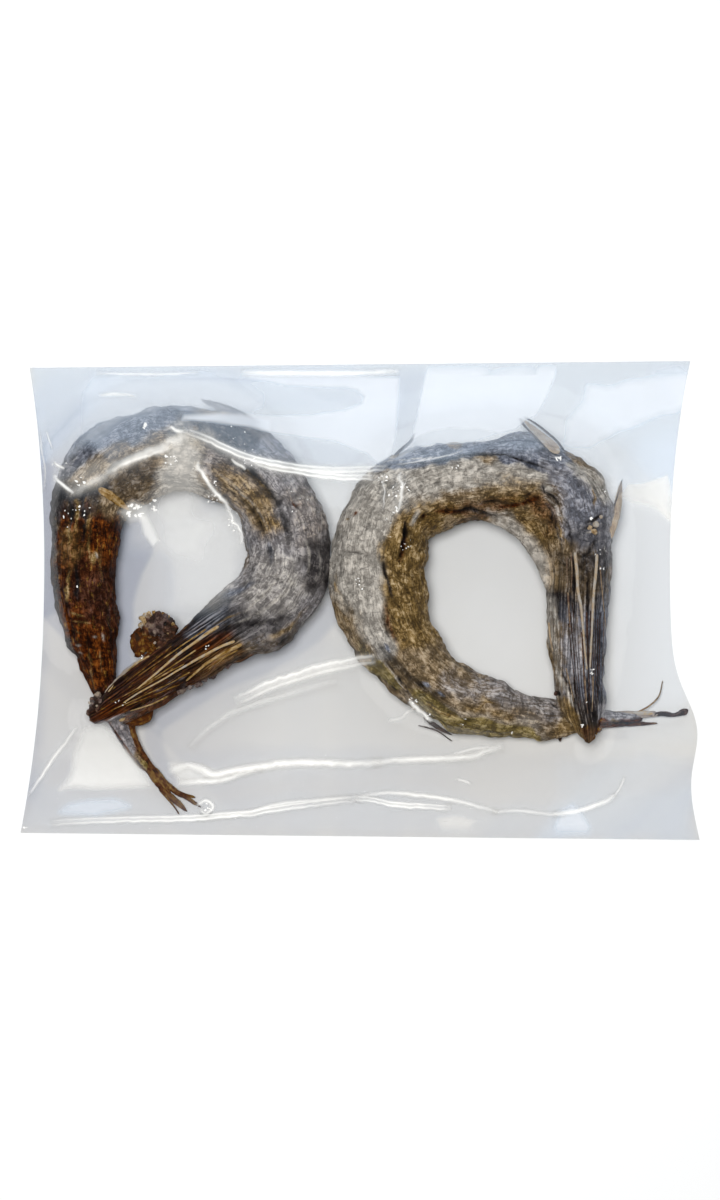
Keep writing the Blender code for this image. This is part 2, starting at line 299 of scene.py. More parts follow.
LEFT_STROKES = (
    ("char", 0.5, 4.4, 1.3, (196, 436, 214, 446, 232, 458, 250, 472, 264, 484, 276, 500, 284, 516,
        290, 534)),
    ("gold", 0.8, 1.6, 0, (228, 456, 246, 470, 260, 482, 270, 494)),
    ("char", 0.35, 3, 0.8, (208, 470, 222, 486, 240, 500, 254, 516, 262, 530)),
    ("pale", 0.5, 1.3, 0, (214, 470, 236, 488, 256, 508, 268, 528)),
    ("char", 0.7, 1.8, 0.6, (106, 476, 112, 466, 124, 458, 140, 452)),
    ("char", 0.9, 2.4, 0.8, (109, 468, 110, 472)),
    ("char", 0.9, 2.4, 0.8, (102, 488, 106, 488)),
    ("char", 0.9, 2, 0.8, (84, 496, 82, 506, 86, 520, 83, 540)),
    ("char", 0.8, 1.8, 0.6, (70, 500, 72, 516, 68, 534)),
    ("gold", 1, 1.6, 0, (76, 500, 77, 514, 75, 530)),
    ("gold", 0.6, 2.8, 0, (90, 514, 88, 526, 91, 536)),
    ("gold", 0.6, 2.4, 0, (67, 524, 69, 538, 66, 548)),
    ("gold", 1, 2, -0.5, (69, 572, 68, 585, 67, 602)),
    ("gold", 1, 2.8, -0.5, (91, 556, 96, 554, 93, 563)),
    ("pale", 0.8, 1.3, -0.4, (96, 553, 98, 557)),
    ("gold", 0.8, 1.3, 0, (88, 534, 90, 556)),
    ("gold", 0.4, 2, 0, (102, 540, 101, 562, 103, 580)),
    ("char", 0.8, 2.2, 0.6, (75, 566, 78, 586, 76, 600)),
    ("gold", 0.8, 1, -0.3, (70, 613, 84, 616)),
    ("gold", 0.8, 1, -0.3, (72, 621, 90, 623)),
    ("gold", 0.7, 1.2, -0.3, (74, 630, 80, 634)),
    ("pale", 0.8, 1.6, -0.4, (75, 645, 80, 645)),
    ("pale", 0.7, 1.4, -0.4, (77, 652, 82, 654)),
    ("pale", 0.8, 1.4, -0.4, (92, 637, 96, 637)),
    ("pale", 0.7, 1.8, -0.4, (102, 634, 104, 641)),
    ("gold", 0.6, 1.2, 0, (86, 640, 90, 662, 92, 690)),
    ("gold", 0.6, 1.2, 0, (100, 650, 102, 672)),
    ("char", 0.7, 1.6, 0.5, (110, 606, 112, 640, 117, 676)),
    ("char", 0.6, 1.5, 0.5, (62, 560, 64, 600, 74, 640, 90, 678)),
    ("pale", 0.6, 1.4, -0.3, (306, 540, 310, 552, 309, 572)),
    ("pale", 0.5, 1, 0, (318, 548, 321, 560, 319, 580)),
    ("char", 0.4, 2.6, 0.6, (284, 520, 290, 545, 292, 560)),
    ("red", 0.8, 1.6, 0.6, (292, 500, 296, 506, 300, 504)),
    ("pale", 0.7, 1.4, -0.3, (294, 500, 302, 496, 312, 502)),
    ("pale", 0.5, 1.3, 0, (296, 530, 300, 520, 308, 526)),
    ("blue", 0.6, 3, 0.4, (266, 540, 270, 552, 270, 562)),
    ("blue", 0.8, 3, 0, (220, 596, 240, 588, 252, 582)),
    ("pale", 0.5, 1.4, 0, (244, 612, 262, 596, 282, 574)),
    ("pale", 0.5, 1.4, 0, (258, 614, 278, 600, 296, 580)),
    ("pale", 0.7, 2.2, 0, (288, 578, 292, 582)),
    ("gold", 0.5, 1.5, 0, (214, 624, 230, 616, 240, 612)),
    ("char", 0.5, 4, 0.8, (216, 632, 244, 624, 272, 622, 292, 616)),
    ("pale", 0.5, 1.6, 0, (236, 622, 250, 618)),
    ("gold", 0.5, 2, 0, (262, 640, 290, 628, 312, 606)),
    ("red", 1, 1.4, 0.4, (106, 720, 118, 738, 132, 756, 148, 776, 164, 794)),
    ("red", 1, 1.6, 0.4, (134, 716, 138, 738, 149, 760, 164, 782)),
    ("gold", 0.9, 1, -0.2, (131, 728, 137, 746, 147, 764)),
    ("gold", 0.9, 1, -0.2, (141, 748, 151, 766, 163, 782)),
)
RIGHT_TRIMS = (
    (13, 4.6, (556, 442, 570, 448, 584, 458)),
    (8, 1.6, (592, 464, 604, 478, 612, 492)),
    (12, 1.6, (430, 440, 460, 442, 496, 436)),
    (14, 5, (372, 682, 380, 690, 396, 704, 414, 718, 430, 732)),
    (9, 2.2, (340, 636, 350, 652, 360, 668)),
    (10, 2, (618, 520, 615, 560, 612, 620, 609, 680)),
    (10, 2, (520, 545, 532, 556, 542, 575)),
    (12, 1.6, (436, 628, 444, 640, 454, 652)),
    (11, -3.2, (432, 556, 436, 542, 446, 533)),
    (9, -2.6, (468, 668, 482, 677, 500, 688)),
    (12, -2, (500, 742, 530, 744, 566, 742)),
    (8, 0.8, (334, 520, 338, 506, 346, 494)),
    (12, 5.5, (576, 750, 590, 753, 604, 748)),
)
RIGHT_STROKES = (
    ("char", 0.9, 1.3, 1.2, (376, 467, 396, 464, 416, 463, 432, 461, 446, 458, 460, 453, 476, 451,
        494, 451, 512, 456, 532, 462, 552, 470)),
    ("pale", 0.8, 1, -0.3, (380, 463, 400, 460, 418, 459, 436, 456)),
    ("red", 1, 2.6, 1.8, (406, 524, 406, 536, 404, 548, 401, 560)),
    ("char", 0.9, 1.6, 1.6, (406, 522, 407, 534, 404, 545)),
    ("char", 0.8, 1.7, 1.3, (383, 556, 386, 574, 390, 588, 394, 602)),
    ("char", 0.5, 1.6, 0.9, (384, 600, 383, 618, 388, 636, 392, 650)),
    ("red", 1, 2.4, 1.2, (423, 517, 426, 517)),
    ("red", 0.9, 2.2, 1, (436, 512, 450, 512, 464, 513)),
    ("red", 0.9, 2, 1, (500, 508, 516, 506, 528, 502, 538, 498)),
    ("red", 0.7, 3, 0.6, (386, 604, 388, 624, 396, 642)),
    ("char", 0.6, 0.8, 0.4, (394, 467, 394, 488, 395, 507)),
    ("char", 0.6, 0.8, 0.4, (380, 478, 379, 490, 378, 501)),
    ("red", 1, 2.3, 0.8, (353, 514, 356, 512)),
    ("gold", 0.9, 1.6, 0.2, (345, 518, 348, 518)),
    ("pale", 1, 2.6, -0.8, (412, 524, 416, 516, 418, 512)),
    ("char", 0.6, 0.9, 0.5, (343, 553, 354, 552, 366, 556, 376, 558)),
    ("char", 0.5, 0.9, 0.4, (348, 575, 360, 570, 370, 566)),
    ("gold", 0.6, 2.2, 0, (335, 570, 336, 590, 344, 596)),
    ("pale", 0.9, 1.4, -0.4, (342, 578, 342, 592, 352, 602, 364, 612)),
    # the broad char stroke that follows is partly painted shade in the crease along the lower left of
    # the right ring, and partly a real fold 1 mm deep
    ("char", 0.5, 4.6, 1, (384, 648, 396, 664, 410, 678, 424, 688, 440, 698, 454, 712)),
    ("blue", 1, 1.8, -0.6, (384, 644, 390, 652)),
    ("blue", 1, 2.2, -0.6, (424, 682, 430, 687)),
    ("blue", 0.9, 2, -0.6, (436, 691, 444, 696)),
    ("char", 0.7, 1.5, 0.9, (378, 654, 392, 672, 404, 688, 411, 702)),
    ("pale", 0.6, 1.2, -0.3, (384, 664, 396, 680, 404, 694)),
    ("char", 0.7, 1.4, 0.6, (370, 684, 384, 694, 396, 702)),
    ("gold", 0.7, 1.6, 0, (426, 704, 440, 714, 456, 718)),
    ("char", 0.9, 2.2, 0.8, (456, 512, 470, 510, 486, 513, 496, 516)),
    ("char", 0.6, 1.6, 0.7, (470, 504, 490, 502, 512, 504)),
    ("gold", 0.9, 1.6, 0, (454, 516, 464, 517)),
    ("char", 0.6, 1.5, 0.6, (525, 498, 534, 490, 542, 488)),
    ("pale", 1, 2.6, -0.8, (547, 486, 552, 492)),
    ("char", 0.95, 1.2, 1, (543, 484, 544, 492, 552, 496, 558, 504)),
    ("char", 0.95, 1.5, 1, (546, 504, 551, 512, 550, 522)),
    ("pale", 0.8, 1.3, -0.4, (545, 498, 554, 504, 558, 512, 566, 520)),
    ("gold", 0.9, 2, 0, (519, 500, 522, 496)),
    ("char", 0.8, 1.3, 0.7, (553, 512, 556, 532, 562, 548)),
    ("gold", 0.7, 1.2, -0.3, (558, 520, 562, 536, 568, 546)),
    ("char", 0.7, 1.2, 0.7, (560, 512, 568, 526, 572, 544)),
    ("pale", 0.6, 1.2, 0, (480, 486, 488, 474, 504, 466, 520, 464)),
    ("pale", 0.6, 1.2, 0, (500, 484, 512, 474, 530, 472, 548, 478)),
    ("pale", 0.5, 1.2, 0, (464, 486, 468, 474, 480, 464)),
    ("char", 0.4, 1, 0.3, (472, 484, 478, 470, 492, 462)),
    ("char", 0.4, 1, 0.3, (492, 484, 502, 472, 520, 468, 540, 470)),
    ("char", 0.5, 1.2, 0.4, (566, 462, 590, 476, 600, 492, 606, 512)),
    ("char", 0.95, 1.8, 0.9, (586, 522, 594, 520, 602, 514)),
    ("char", 0.8, 1.6, 0.7, (584, 528, 594, 526, 598, 534)),
    ("pale", 0.8, 1.2, -0.3, (586, 532, 596, 531)),
    ("gold", 0.7, 1.4, 0, (592, 484, 596, 496, 594, 508)),
    ("char", 0.8, 2, 0.9, (596, 540, 590, 550, 584, 556)),
    ("pale", 0.8, 2, -0.4, (550, 606, 555, 618, 560, 630)),
    ("pale", 0.7, 2.2, -0.4, (549, 622, 551, 640, 554, 652)),
    ("pale", 0.9, 1.8, -0.4, (552, 664, 559, 677, 566, 690, 575, 706)),
    ("char", 0.95, 1.8, 0.9, (574, 672, 575, 690, 576, 712)),
    ("char", 0.8, 1.5, 0.7, (560, 668, 568, 684, 573, 700)),
    ("char", 0.7, 1.2, 0.7, (588, 674, 588, 700, 590, 716)),
    ("char", 0.6, 1.1, 0.5, (598, 660, 598, 690, 597, 712)),
    ("char", 0.9, 1.6, 0.5, (608, 650, 609, 668)),
    ("char", 0.8, 1.2, 0.8, (587, 560, 588, 600, 588, 640, 588, 664)),
    ("char", 0.8, 1.2, 0.8, (572, 552, 573, 590, 576, 630)),
    ("char", 0.9, 2.6, 0.6, (555, 692, 559, 695)),
    ("char", 0.9, 1.6, 0.6, (602, 722, 620, 723, 646, 724)),
    ("gold", 0.6, 2, 0, (476, 712, 486, 700, 500, 704)),
    ("char", 0.5, 1, 0.4, (520, 690, 524, 704, 520, 716)),
    ("char", 0.5, 1, 0.4, (534, 692, 540, 706, 536, 722)),
    ("pale", 0.4, 1, 0, (526, 692, 530, 706, 527, 718)),
    ("char", 0.6, 1.4, 0.4, (548, 698, 556, 706, 562, 714)),
)

# Jaw bones and gill rays: half width in pixels, tone from 0 charred to 1 pale,
# and places
LEFT_BONES = (
    (2.3, 0.8, (219, 626, 208, 633, 194, 643, 180, 653, 168, 663, 154, 675, 137, 689)),
    (2, 0.79, (235, 641, 220, 647, 201, 657, 180, 669, 160, 681, 140, 692, 123, 703)),
    (2.6, 0.62, (242, 644, 224, 653, 206, 664, 194, 674, 186, 681)),
    (1.2, 0.5, (238, 650, 218, 661, 204, 673, 196, 680)),
    (1.5, 0.6, (183, 690, 168, 696, 152, 704, 130, 711)),
    (1, 0.5, (206, 629, 184, 644, 160, 661, 138, 676)),
    (0.9, 0.42, (172, 646, 150, 664, 126, 682)),
    (1, 0.55, (196, 650, 172, 666, 148, 682, 122, 697)),
    (0.9, 0.45, (184, 664, 158, 678, 128, 696)),
    (0.9, 0.5, (190, 672, 164, 686, 134, 700, 112, 710)),
    (1, 0.4, (180, 684, 156, 694, 126, 706)),
    (2, 0.75, (150, 656, 138, 663, 127, 672, 116, 683, 108, 692)),
)
RIGHT_BONES = (
    (2.5, 0.86, (575, 552, 577, 572, 578, 590, 581, 606, 583, 628, 585, 650, 587, 670)),
    (2.3, 0.84, (597, 554, 596, 572, 594, 590, 593, 608, 592, 628, 591, 648, 590, 668)),
    (0.9, 0.5, (600, 566, 603, 600, 605, 618, 606, 628)),
    (0.9, 0.45, (567, 556, 567, 572, 568, 588)),
    (0.9, 0.4, (571, 552, 572, 572, 571, 590)),
    (1.5, 0.35, (568, 592, 569, 610, 570, 628)),
    (0.8, 0.6, (593, 676, 593, 690, 592, 712)),
    (0.8, 0.5, (585, 676, 586, 694, 588, 714)),
    (0.8, 0.5, (566, 668, 570, 684, 574, 702)),
    (1.6, 0.6, (549, 622, 550, 636, 553, 652)),
)
# Fine fibres that fill each head, from its root towards the snout: how many,
# how grey, and the two ends of the root and of the tip
LEFT_FIBRES = (20, 0.0, (186, 632), (210, 672), (112, 690), (116, 716))
RIGHT_FIBRES = (14, 0.35, (566, 600), (606, 600), (578, 716), (602, 712))

# Lumps of crust, and knobs of the snouts: name, and for each lump its place in
# the picture, its height and radius in mm, its tone and how grey it is
LUMPS = (
    ("left_crust", ((150, 619, 21, 2.1, 0.14, 0.3), (157, 617, 21, 2.5, 0.10, 0.4),
        (164, 619, 21, 2.4, 0.12, 0.4), (169, 622, 20, 2.4, 0.10, 0.3), (172, 630, 20, 2.4, 0.12, 0.2),
        (152, 623, 21, 2.8, 0.16, 0.4), (160, 622, 22, 2.9, 0.10, 0.5), (166, 629, 21, 2.6, 0.14, 0.3),
        (146, 630, 20, 2.2, 0.2, 0.1), (154, 630, 21, 2.5, 0.16, 0.5), (161, 631, 21, 2.4, 0.22, 0.5),
        (140, 632, 19, 1.8, 0.18, 0), (163, 638, 20, 2.2, 0.16, 0.4), (147, 638, 19, 1.9, 0.2, 0),
        (169, 637, 20, 2.3, 0.12, 0.2), (161, 646, 20, 2.4, 0.2, 0.2), (152, 651, 19, 2.2, 0.22, 0),
        (145, 645, 18, 2.2, 0.2, 0), (167, 645, 20, 2.2, 0.12, 0.2), (134, 636, 18, 1.5, 0.24, 0),
        (137, 655, 18, 1.5, 0.1, 0), (154, 641, 20, 2.2, 0.12, 0), (149, 646, 19, 2, 0.16, 0),
        (157, 654, 19, 2.2, 0.14, 0), (160, 640, 19, 2, 0.1, 0.1), (172, 640, 20, 2, 0.08, 0.2))),
    ("left_crust_crumbs", ((145, 620, 20, 1.7, 0.75, 0.1), (149, 615, 21, 1.6, 0.72, 0),
        (142, 625, 19, 1.7, 0.8, 0.2), (147, 626, 20, 1.4, 0.65, 0.1), (141, 618, 19, 1.1, 0.85, 0.2),
        (154, 613, 21, 1.1, 0.5, 0), (168, 617, 21, 1, 0.6, 0.1), (173, 624, 21, 1, 0.6, 0.1),
        # the pale crumb high at (155, 643) is a painted glint in a dark hollow of the crust; the rest
        # are crumbs
        (163, 614, 21, 1, 0.45, 0), (155, 643, 24, 0.8, 0.95, 0.6), (145, 615, 19, 1.2, 0.8, 0.1),
        (157, 620, 23, 0.8, 0.6, 0.3), (150, 637, 21, 0.8, 0.5, 0.1), (168, 633, 22, 0.8, 0.6, 0.2),
        (158, 649, 21, 0.8, 0.6, 0))),
    ("left_crust_flap", ((142, 640, 19.5, 1.8, 0.2, 0), (144, 649, 19.5, 2, 0.18, 0),
        (148, 656, 19.5, 1.9, 0.26, 0), (155, 658, 19, 1.7, 0.24, 0))),
    ("left_jaw_crumbs", ((173, 694, 17, 1.6, 0.2, 0.3), (181, 689, 17, 2, 0.3, 0.5),
        (189, 686, 17, 1.7, 0.35, 0.7), (197, 682, 17, 2.1, 0.3, 0.6), (204, 678, 17.5, 1.8, 0.3, 0.6),
        (212, 674, 17.5, 2.2, 0.25, 0.5), (219, 668, 17.5, 1.5, 0.2, 0.5), (226, 664, 18, 1.9, 0.2, 0.5),
        (234, 660, 18, 1.6, 0.2, 0.6))),
    ("left_snout", ((93, 707, 18, 1.8, 0.1, 0.5), (96, 702, 19, 2.2, 0.14, 0.4),
        (92, 713, 17, 1.8, 0.12, 0.4), (95, 716, 17, 2.2, 0.3, 0), (102, 700, 20, 1.8, 0.1, 0.5),
        (100, 709, 20, 2.2, 0.16, 0.3), (102, 717, 18, 1.8, 0.3, 0), (98, 696, 19, 1.4, 0.5, 0.5),
        (93, 699, 19, 0.8, 0.8, 0.6), (105, 704, 21, 0.8, 0.8, 0.5), (97, 706, 21, 0.7, 0.85, 0.5),
        (90, 703, 19, 0.6, 0.8, 0.6), (108, 698, 21, 0.7, 0.7, 0.4))),
    ("right_snout", ((583, 731, 18, 2, 0.28, 0), (590, 733, 18, 2.4, 0.2, 0), (596, 729, 18, 2, 0.3, 0),
        (587, 727, 20, 2.2, 0.2, 0.4), (594, 724, 20, 2, 0.1, 0.5), (584, 728, 20, 1.2, 0.9, 0.4),
        (590, 730, 21, 1.1, 0.08, 0.2), (596, 732, 17, 1.2, 0.5, 0), (588, 735, 16, 1.2, 0.3, 0),
        (593, 734, 20, 0.8, 0.75, 0))),
    ("right_gill_knobs", ((596, 524, 33, 1.3, 0.85, 0.5), (590, 528, 33, 1, 0.75, 0.3),
        (594, 532, 33, 1.1, 0.6, 0.2), (601, 517, 33, 0.9, 0.8, 0.5), (556, 693, 24, 1, 0.05, 0.4))),
)

# Loose parts: name, slot, tone, how grey, roughness in mm, and rows of x, y,
# height, half width and half thickness, in mm
SCRAPS = (
    ("left_tail_fin_lower", "fin", 0.28, 0.05, 0.45, ((-107, -83, 4, 2.4, 1.4),
        (-100, -94, 3.4, 2.2, 1.2), (-93, -102, 2.8, 1.6, 0.9), (-86, -108, 2.2, 0.7, 0.5))),
    ("left_tail_fin_upper", "fin", 0.26, 0.05, 0.45, ((-104, -86, 4, 1.8, 1.2), (-95, -96, 3.4, 1.5, 1),
        (-86, -101.5, 2.8, 1.2, 0.8), (-79, -106, 2.2, 0.6, 0.5))),
    ("left_tail_fin_spur", "fin", 0.3, 0, 0.3, ((-92, -98, 3, 0.9, 0.6), (-86, -100, 2.8, 0.8, 0.6),
        (-82, -101, 2.4, 0.4, 0.4))),
    ("left_tail_fin_thread", "fin", 0.4, 0, 0.2, ((-100, -97, 3, 0.5, 0.5), (-93, -105, 2.6, 0.5, 0.4),
        (-90, -109.5, 2.2, 0.3, 0.3))),
    ("left_tail_edge", "fin", 0.2, 0.05, 0.3, ((-114.8, -60, 9, 1.8, 0.9), (-111.5, -73, 7.5, 1.2, 1),
        (-105, -84, 6, 1.1, 0.9), (-98.5, -92, 4.5, 0.7, 0.6))),
    ("left_lower_jaw", "fin", 0.12, 0.1, 0.5, ((-86, -47, 17, 1, 0.8), (-92, -50, 17, 2.5, 1.6),
        (-101, -55.5, 17.5, 2.6, 1.8), (-110, -60.5, 18, 2, 1.4), (-119, -64.5, 18, 1.2, 1))),
    ("left_jaw_ridge", "bone", 0.6, 0, 0.2, ((-100.5, -56, 16, 0.5, 0.5), (-108, -60, 17.5, 1, 0.8),
        (-119, -64.2, 18.8, 0.6, 0.5))),
    ("left_jaw_lobe", "fin", 0.13, 0, 0.6, ((-102.5, -58, 14, 1.4, 0.8), (-106, -61.5, 13.5, 3, 1.4),
        (-111, -63.5, 13.5, 2.8, 1.4), (-118, -65, 15, 1, 0.8))),
    ("left_jaw_sheet", "bone", 0.8, 0.5, 0.35, ((-104.5, -31.5, 19, 0.8, 0.4), (-111, -37, 20, 1.7, 0.6),
        (-118, -43, 20, 1.7, 0.6), (-126, -51, 20, 1, 0.5))),
    ("left_crust_plate", "fin", 0.17, 0, 0.6, ((-111.5, -19, 19.5, 3, 1.2), (-110, -23.5, 20, 4.4, 1.6),
        (-109.5, -28.5, 19.5, 4, 1.5), (-107, -32.5, 18.5, 2.4, 1.2))),
    ("left_belly_sliver", "bone", 0.52, 0, 0.3, ((-131, 50.5, 34.5, 0.7, 0.5),
        (-124, 46.4, 35, 2.1, 0.7), (-119, 43, 35, 1.8, 0.7), (-114, 39.5, 34.5, 0.6, 0.5))),
    ("left_back_fin", "fin", 0.3, 1, 0.3, ((-80, 97, 24, 0.4, 0.4), (-70, 93, 24, 2, 0.8),
        (-62, 89.5, 24, 2.6, 0.9), (-52, 85, 25, 1, 0.6))),
    ("left_back_fin_edge", "fin", 0.02, 0.6, 0.1, ((-80, 98, 24.5, 0.3, 0.3), (-69, 95, 25, 0.7, 0.5),
        (-59, 90.5, 25.5, 0.7, 0.5), (-50, 85, 26, 0.3, 0.3))),
    ("right_belly_lobe", "smoked_skin", 0.78, 0.25, 0.5, ((50, 41, 22, 1.5, 1.5),
        (61, 40, 22.5, 4.6, 2.6), (73, 37.5, 22.5, 6.2, 3.2), (83.5, 30, 22.5, 6.4, 3.2),
        (90.5, 18, 22, 5.2, 2.8), (94, 5, 21.5, 3.2, 2.2), (94.5, -4, 21, 1, 1))),
    ("right_spike_fin", "fin", 0.72, 0.5, 0.3, ((98.5, 67, 34, 2.6, 1.3), (94, 73, 33.5, 3, 1.1),
        (88.5, 80, 31, 2.2, 0.9), (81.9, 89, 27, 0.6, 0.4))),
    ("right_spike_edge", "fin", 0.02, 0.4, 0.15, ((101, 69, 35, 0.6, 0.5), (97, 76, 33.5, 0.8, 0.6),
        (89.8, 84.5, 31, 0.7, 0.5), (82.6, 90.6, 27.5, 0.5, 0.4))),
    ("right_spike_side", "fin", 0.05, 0.6, 0.15, ((92, 70, 35, 0.4, 0.4), (87.5, 76.5, 33, 0.6, 0.5),
        (82.5, 84.5, 30, 0.6, 0.5), (80.6, 89.6, 27.5, 0.4, 0.4))),
    ("right_thin_fin", "fin", 0.12, 0.9, 0.15, ((17, 67.5, 34, 0.5, 0.4), (20.5, 70.8, 33.5, 1, 0.5),
        (25, 75.5, 31, 0.8, 0.4), (27.5, 81, 29, 0.3, 0.3))),
    ("right_side_fin", "fin", 0.7, 0.4, 0.25, ((131.3, 57, 20, 0.5, 0.4), (129.6, 48, 21, 1.7, 0.7),
        (127.5, 38, 22, 2, 0.8), (124.5, 26, 23, 1, 0.6))),
    ("right_side_fin_edge", "fin", 0.05, 0.5, 0.1, ((131.8, 58, 20.5, 0.3, 0.3),
        (128.8, 49, 22, 0.4, 0.4), (125.6, 40, 23.5, 0.4, 0.4))),
    ("right_tail_upper", "fin", 0.6, 0.7, 0.3, ((108, -61, 6, 3.4, 3), (124, -60.4, 4.8, 2.3, 1.8),
        (136, -60, 4.2, 2.1, 1.3), (145, -59.4, 3.8, 1.5, 1), (153, -59.2, 3.4, 0.8, 0.6))),
    ("right_tail_cream", "fin", 0.95, 0.2, 0.15, ((136, -58.8, 5.2, 0.5, 0.4), (142, -59, 5, 1.2, 0.5),
        (147, -59.2, 4.4, 0.8, 0.4))),
    ("right_tail_tip", "fin", 0, 0.5, 0.5, ((144, -60.2, 4, 0.6, 0.6), (151, -59.4, 3.8, 1.1, 0.9),
        (157, -59.8, 3.6, 0.9, 0.8), (161.5, -58.6, 3.4, 1.3, 1), (164.5, -57, 2.9, 0.9, 0.7))),
    ("right_tail_lower", "fin", 0.1, 0.2, 0.4, ((112, -65.3, 5, 1.4, 1.2), (122, -65.2, 4.2, 1.2, 1),
        (131, -64.6, 3.4, 1.3, 0.9), (140, -64.2, 2.8, 0.9, 0.7), (149, -63.9, 2.2, 0.4, 0.4))),
    ("right_tail_red", "fin", 0.24, 0, 0.2, ((128, -64, 4.8, 0.4, 0.4), (133, -64, 4.6, 0.8, 0.5),
        (139, -63.8, 4, 0.4, 0.4))),
    ("right_belly_wisp", "fin", 0.05, 0.3, 0.2, ((31.5, -61.5, 8, 0.5, 0.4), (36, -64.5, 7, 1.1, 0.6),
        (41, -67.5, 6, 1, 0.5), (46, -70, 4, 0.3, 0.3))),
    ("right_belly_hair", "fin", 0.1, 0.6, 0.1, ((29, -65.2, 4, 0.2, 0.2), (34, -66.4, 4.4, 0.35, 0.3),
        (39, -68.2, 4.4, 0.35, 0.3), (46, -73, 3, 0.2, 0.2))),
    ("right_belly_stub", "fin", 0, 0.3, 0.2, ((99.6, -65, 6, 0.5, 0.4), (99.8, -70, 4.2, 1.3, 0.9),
        (100, -73.5, 3, 0.4, 0.4))),
    ("right_tail_ray", "fin", 0.55, 0.2, 0.05, ((139, -58.5, 5, 0.45, 0.4), (144.5, -55.5, 6, 0.45, 0.4),
        (149.5, -50.5, 7, 0.4, 0.35), (151.8, -42.5, 8, 0.25, 0.25))),
)

# Folds of the film, each raised and with a painted highlight on its crest: half width in
# pixels, how many lines of painted highlight, their strength, rise in mm, how jagged in
# pixels, and places
FOLDS = (
    (2.2, 1, 1, 0.5, 0.4, (53, 462, 59, 466, 65, 469)),
    (2.6, 1, 1, 0.6, 0.6, (53, 474, 60, 483, 70, 491, 74, 494)),
    (6, 1, 0.36, 0.5, 2.2, (72, 494, 84, 488, 97, 481, 112, 472)),
    (7.4, 1, 0.62, 0.7, 2.2, (106, 474, 120, 465, 134, 459, 148, 453, 160, 448, 173, 442, 188, 434)),
    (9, 1, 0.30, 0.4, 0.4, (192, 433, 206, 440, 222, 449, 240, 457, 260, 464, 284, 469, 312, 472)),
    (2.4, 1, 0.6, 0.3, 1.2, (110, 472, 122, 465, 138, 459, 154, 454, 170, 447)),
    (3.8, 2, 0.9, 1, 0.4, (186, 431, 206, 438, 222, 446, 240, 454, 258, 460, 280, 464, 304, 468,
        334, 470, 364, 469, 388, 468)),
    (3.6, 2, 0.9, 0.7, 0.4, (254, 461, 272, 467, 296, 471, 320, 475, 346, 477, 374, 477)),
    (2.6, 1, 0.9, 0.5, 1.2, (170, 426, 176, 430, 184, 431)),
    (3, 1, 1, 0.6, 2, (196, 461, 201, 473, 208, 485, 216, 494, 224, 502, 230, 512)),
    (2.4, 1, 0.75, 0.3, 2.4, (228, 508, 232, 520, 240, 532, 244, 544)),
    (2.4, 1, 0.8, 0.4, 1.6, (230, 460, 238, 464, 246, 470)),
    (1.3, 1, 0.4, 0.3, 1.2, (383, 478, 384, 492, 382, 510)),
    (2.8, 1, 0.75, 0.4, 1.8, (399, 472, 401, 486, 399, 502, 397, 514)),
    (6, 2, 0.9, 0.9, 0.4, (376, 659, 360, 661, 346, 664, 322, 669, 298, 676, 274, 684, 252, 694,
        234, 702)),
    (4, 1, 0.35, 0.4, 0.4, (338, 681, 312, 687, 286, 695, 258, 703, 230, 714, 206, 730, 188, 748)),
    (4.2, 1, 1, 0.8, 0.6, (168, 772, 184, 766, 200, 768, 214, 775, 234, 771, 260, 767, 288, 763,
        322, 763, 356, 764, 382, 761)),
    (3.4, 1, 0.7, 0.4, 0.6, (178, 783, 198, 782, 222, 780, 246, 773, 262, 769)),
    (3.6, 1, 0.95, 0.8, 0.4, (372, 763, 402, 760, 440, 759, 470, 757, 487, 751, 504, 746)),
    (2.2, 1, 0.6, 0.3, 0.4, (452, 754, 474, 749, 492, 747)),
    (3.6, 2, 0.75, 0.5, 0.4, (50, 823, 80, 821, 110, 820, 150, 819, 190, 818, 226, 815, 252, 813,
        280, 808, 310, 804, 336, 801, 360, 798)),
    (2.6, 1, 0.6, 0.4, 0.4, (196, 818, 240, 814, 280, 804, 320, 800, 352, 797)),
    (3.2, 2, 0.85, 0.6, 0.4, (354, 798, 372, 800, 392, 804, 420, 806, 452, 808)),
    (2.6, 1, 0.8, 0.5, 0.4, (360, 796, 392, 793, 424, 796, 452, 800, 476, 806, 498, 812)),
    (2.4, 1, 0.5, 0.3, 0.4, (492, 812, 520, 811, 548, 814, 566, 815)),
    (3.2, 1, 0.95, 0.6, 0.4, (552, 814, 574, 812, 594, 806, 608, 800, 616, 795)),
    (1.8, 1, 0.5, 0.3, 0.4, (614, 796, 620, 788, 625, 776)),
    (2.2, 1, 0.7, 0.4, 0.6, (78, 726, 66, 742, 52, 760, 40, 778, 28, 796)),
    (2.4, 1, 0.6, 0.4, 1, (388, 720, 400, 718, 410, 711, 416, 706)),
    (3, 1, 0.95, 0.5, 1, (409, 700, 416, 707, 424, 715, 432, 722)),
    (1.8, 1, 0.6, 0.3, 0.4, (456, 779, 464, 781, 471, 784)),
    (3.2, 1, 0.9, 0.3, 0.3, (240, 372, 280, 373, 320, 373, 360, 373, 400, 371)),
    (2, 1, 0.5, 0.3, 0.3, (96, 373, 130, 374, 168, 374, 200, 372)),
    (2.6, 1, 0.6, 0.3, 0.3, (98, 395, 116, 394, 138, 396)),
    (2.4, 1, 0.8, 0.4, 1.4, (196, 806, 204, 801, 212, 806, 206, 813, 200, 809)),
    (1.3, 1, 0.4, 0.2, 0.3, (396, 465, 420, 461, 446, 456, 464, 450)),
    (1.6, 1, 0.45, 0.3, 0.3, (40, 430, 42, 452, 45, 470, 44, 492)),
    (1.4, 1, 0.45, 0.3, 0.3, (46, 430, 50, 442, 53, 450)),
)
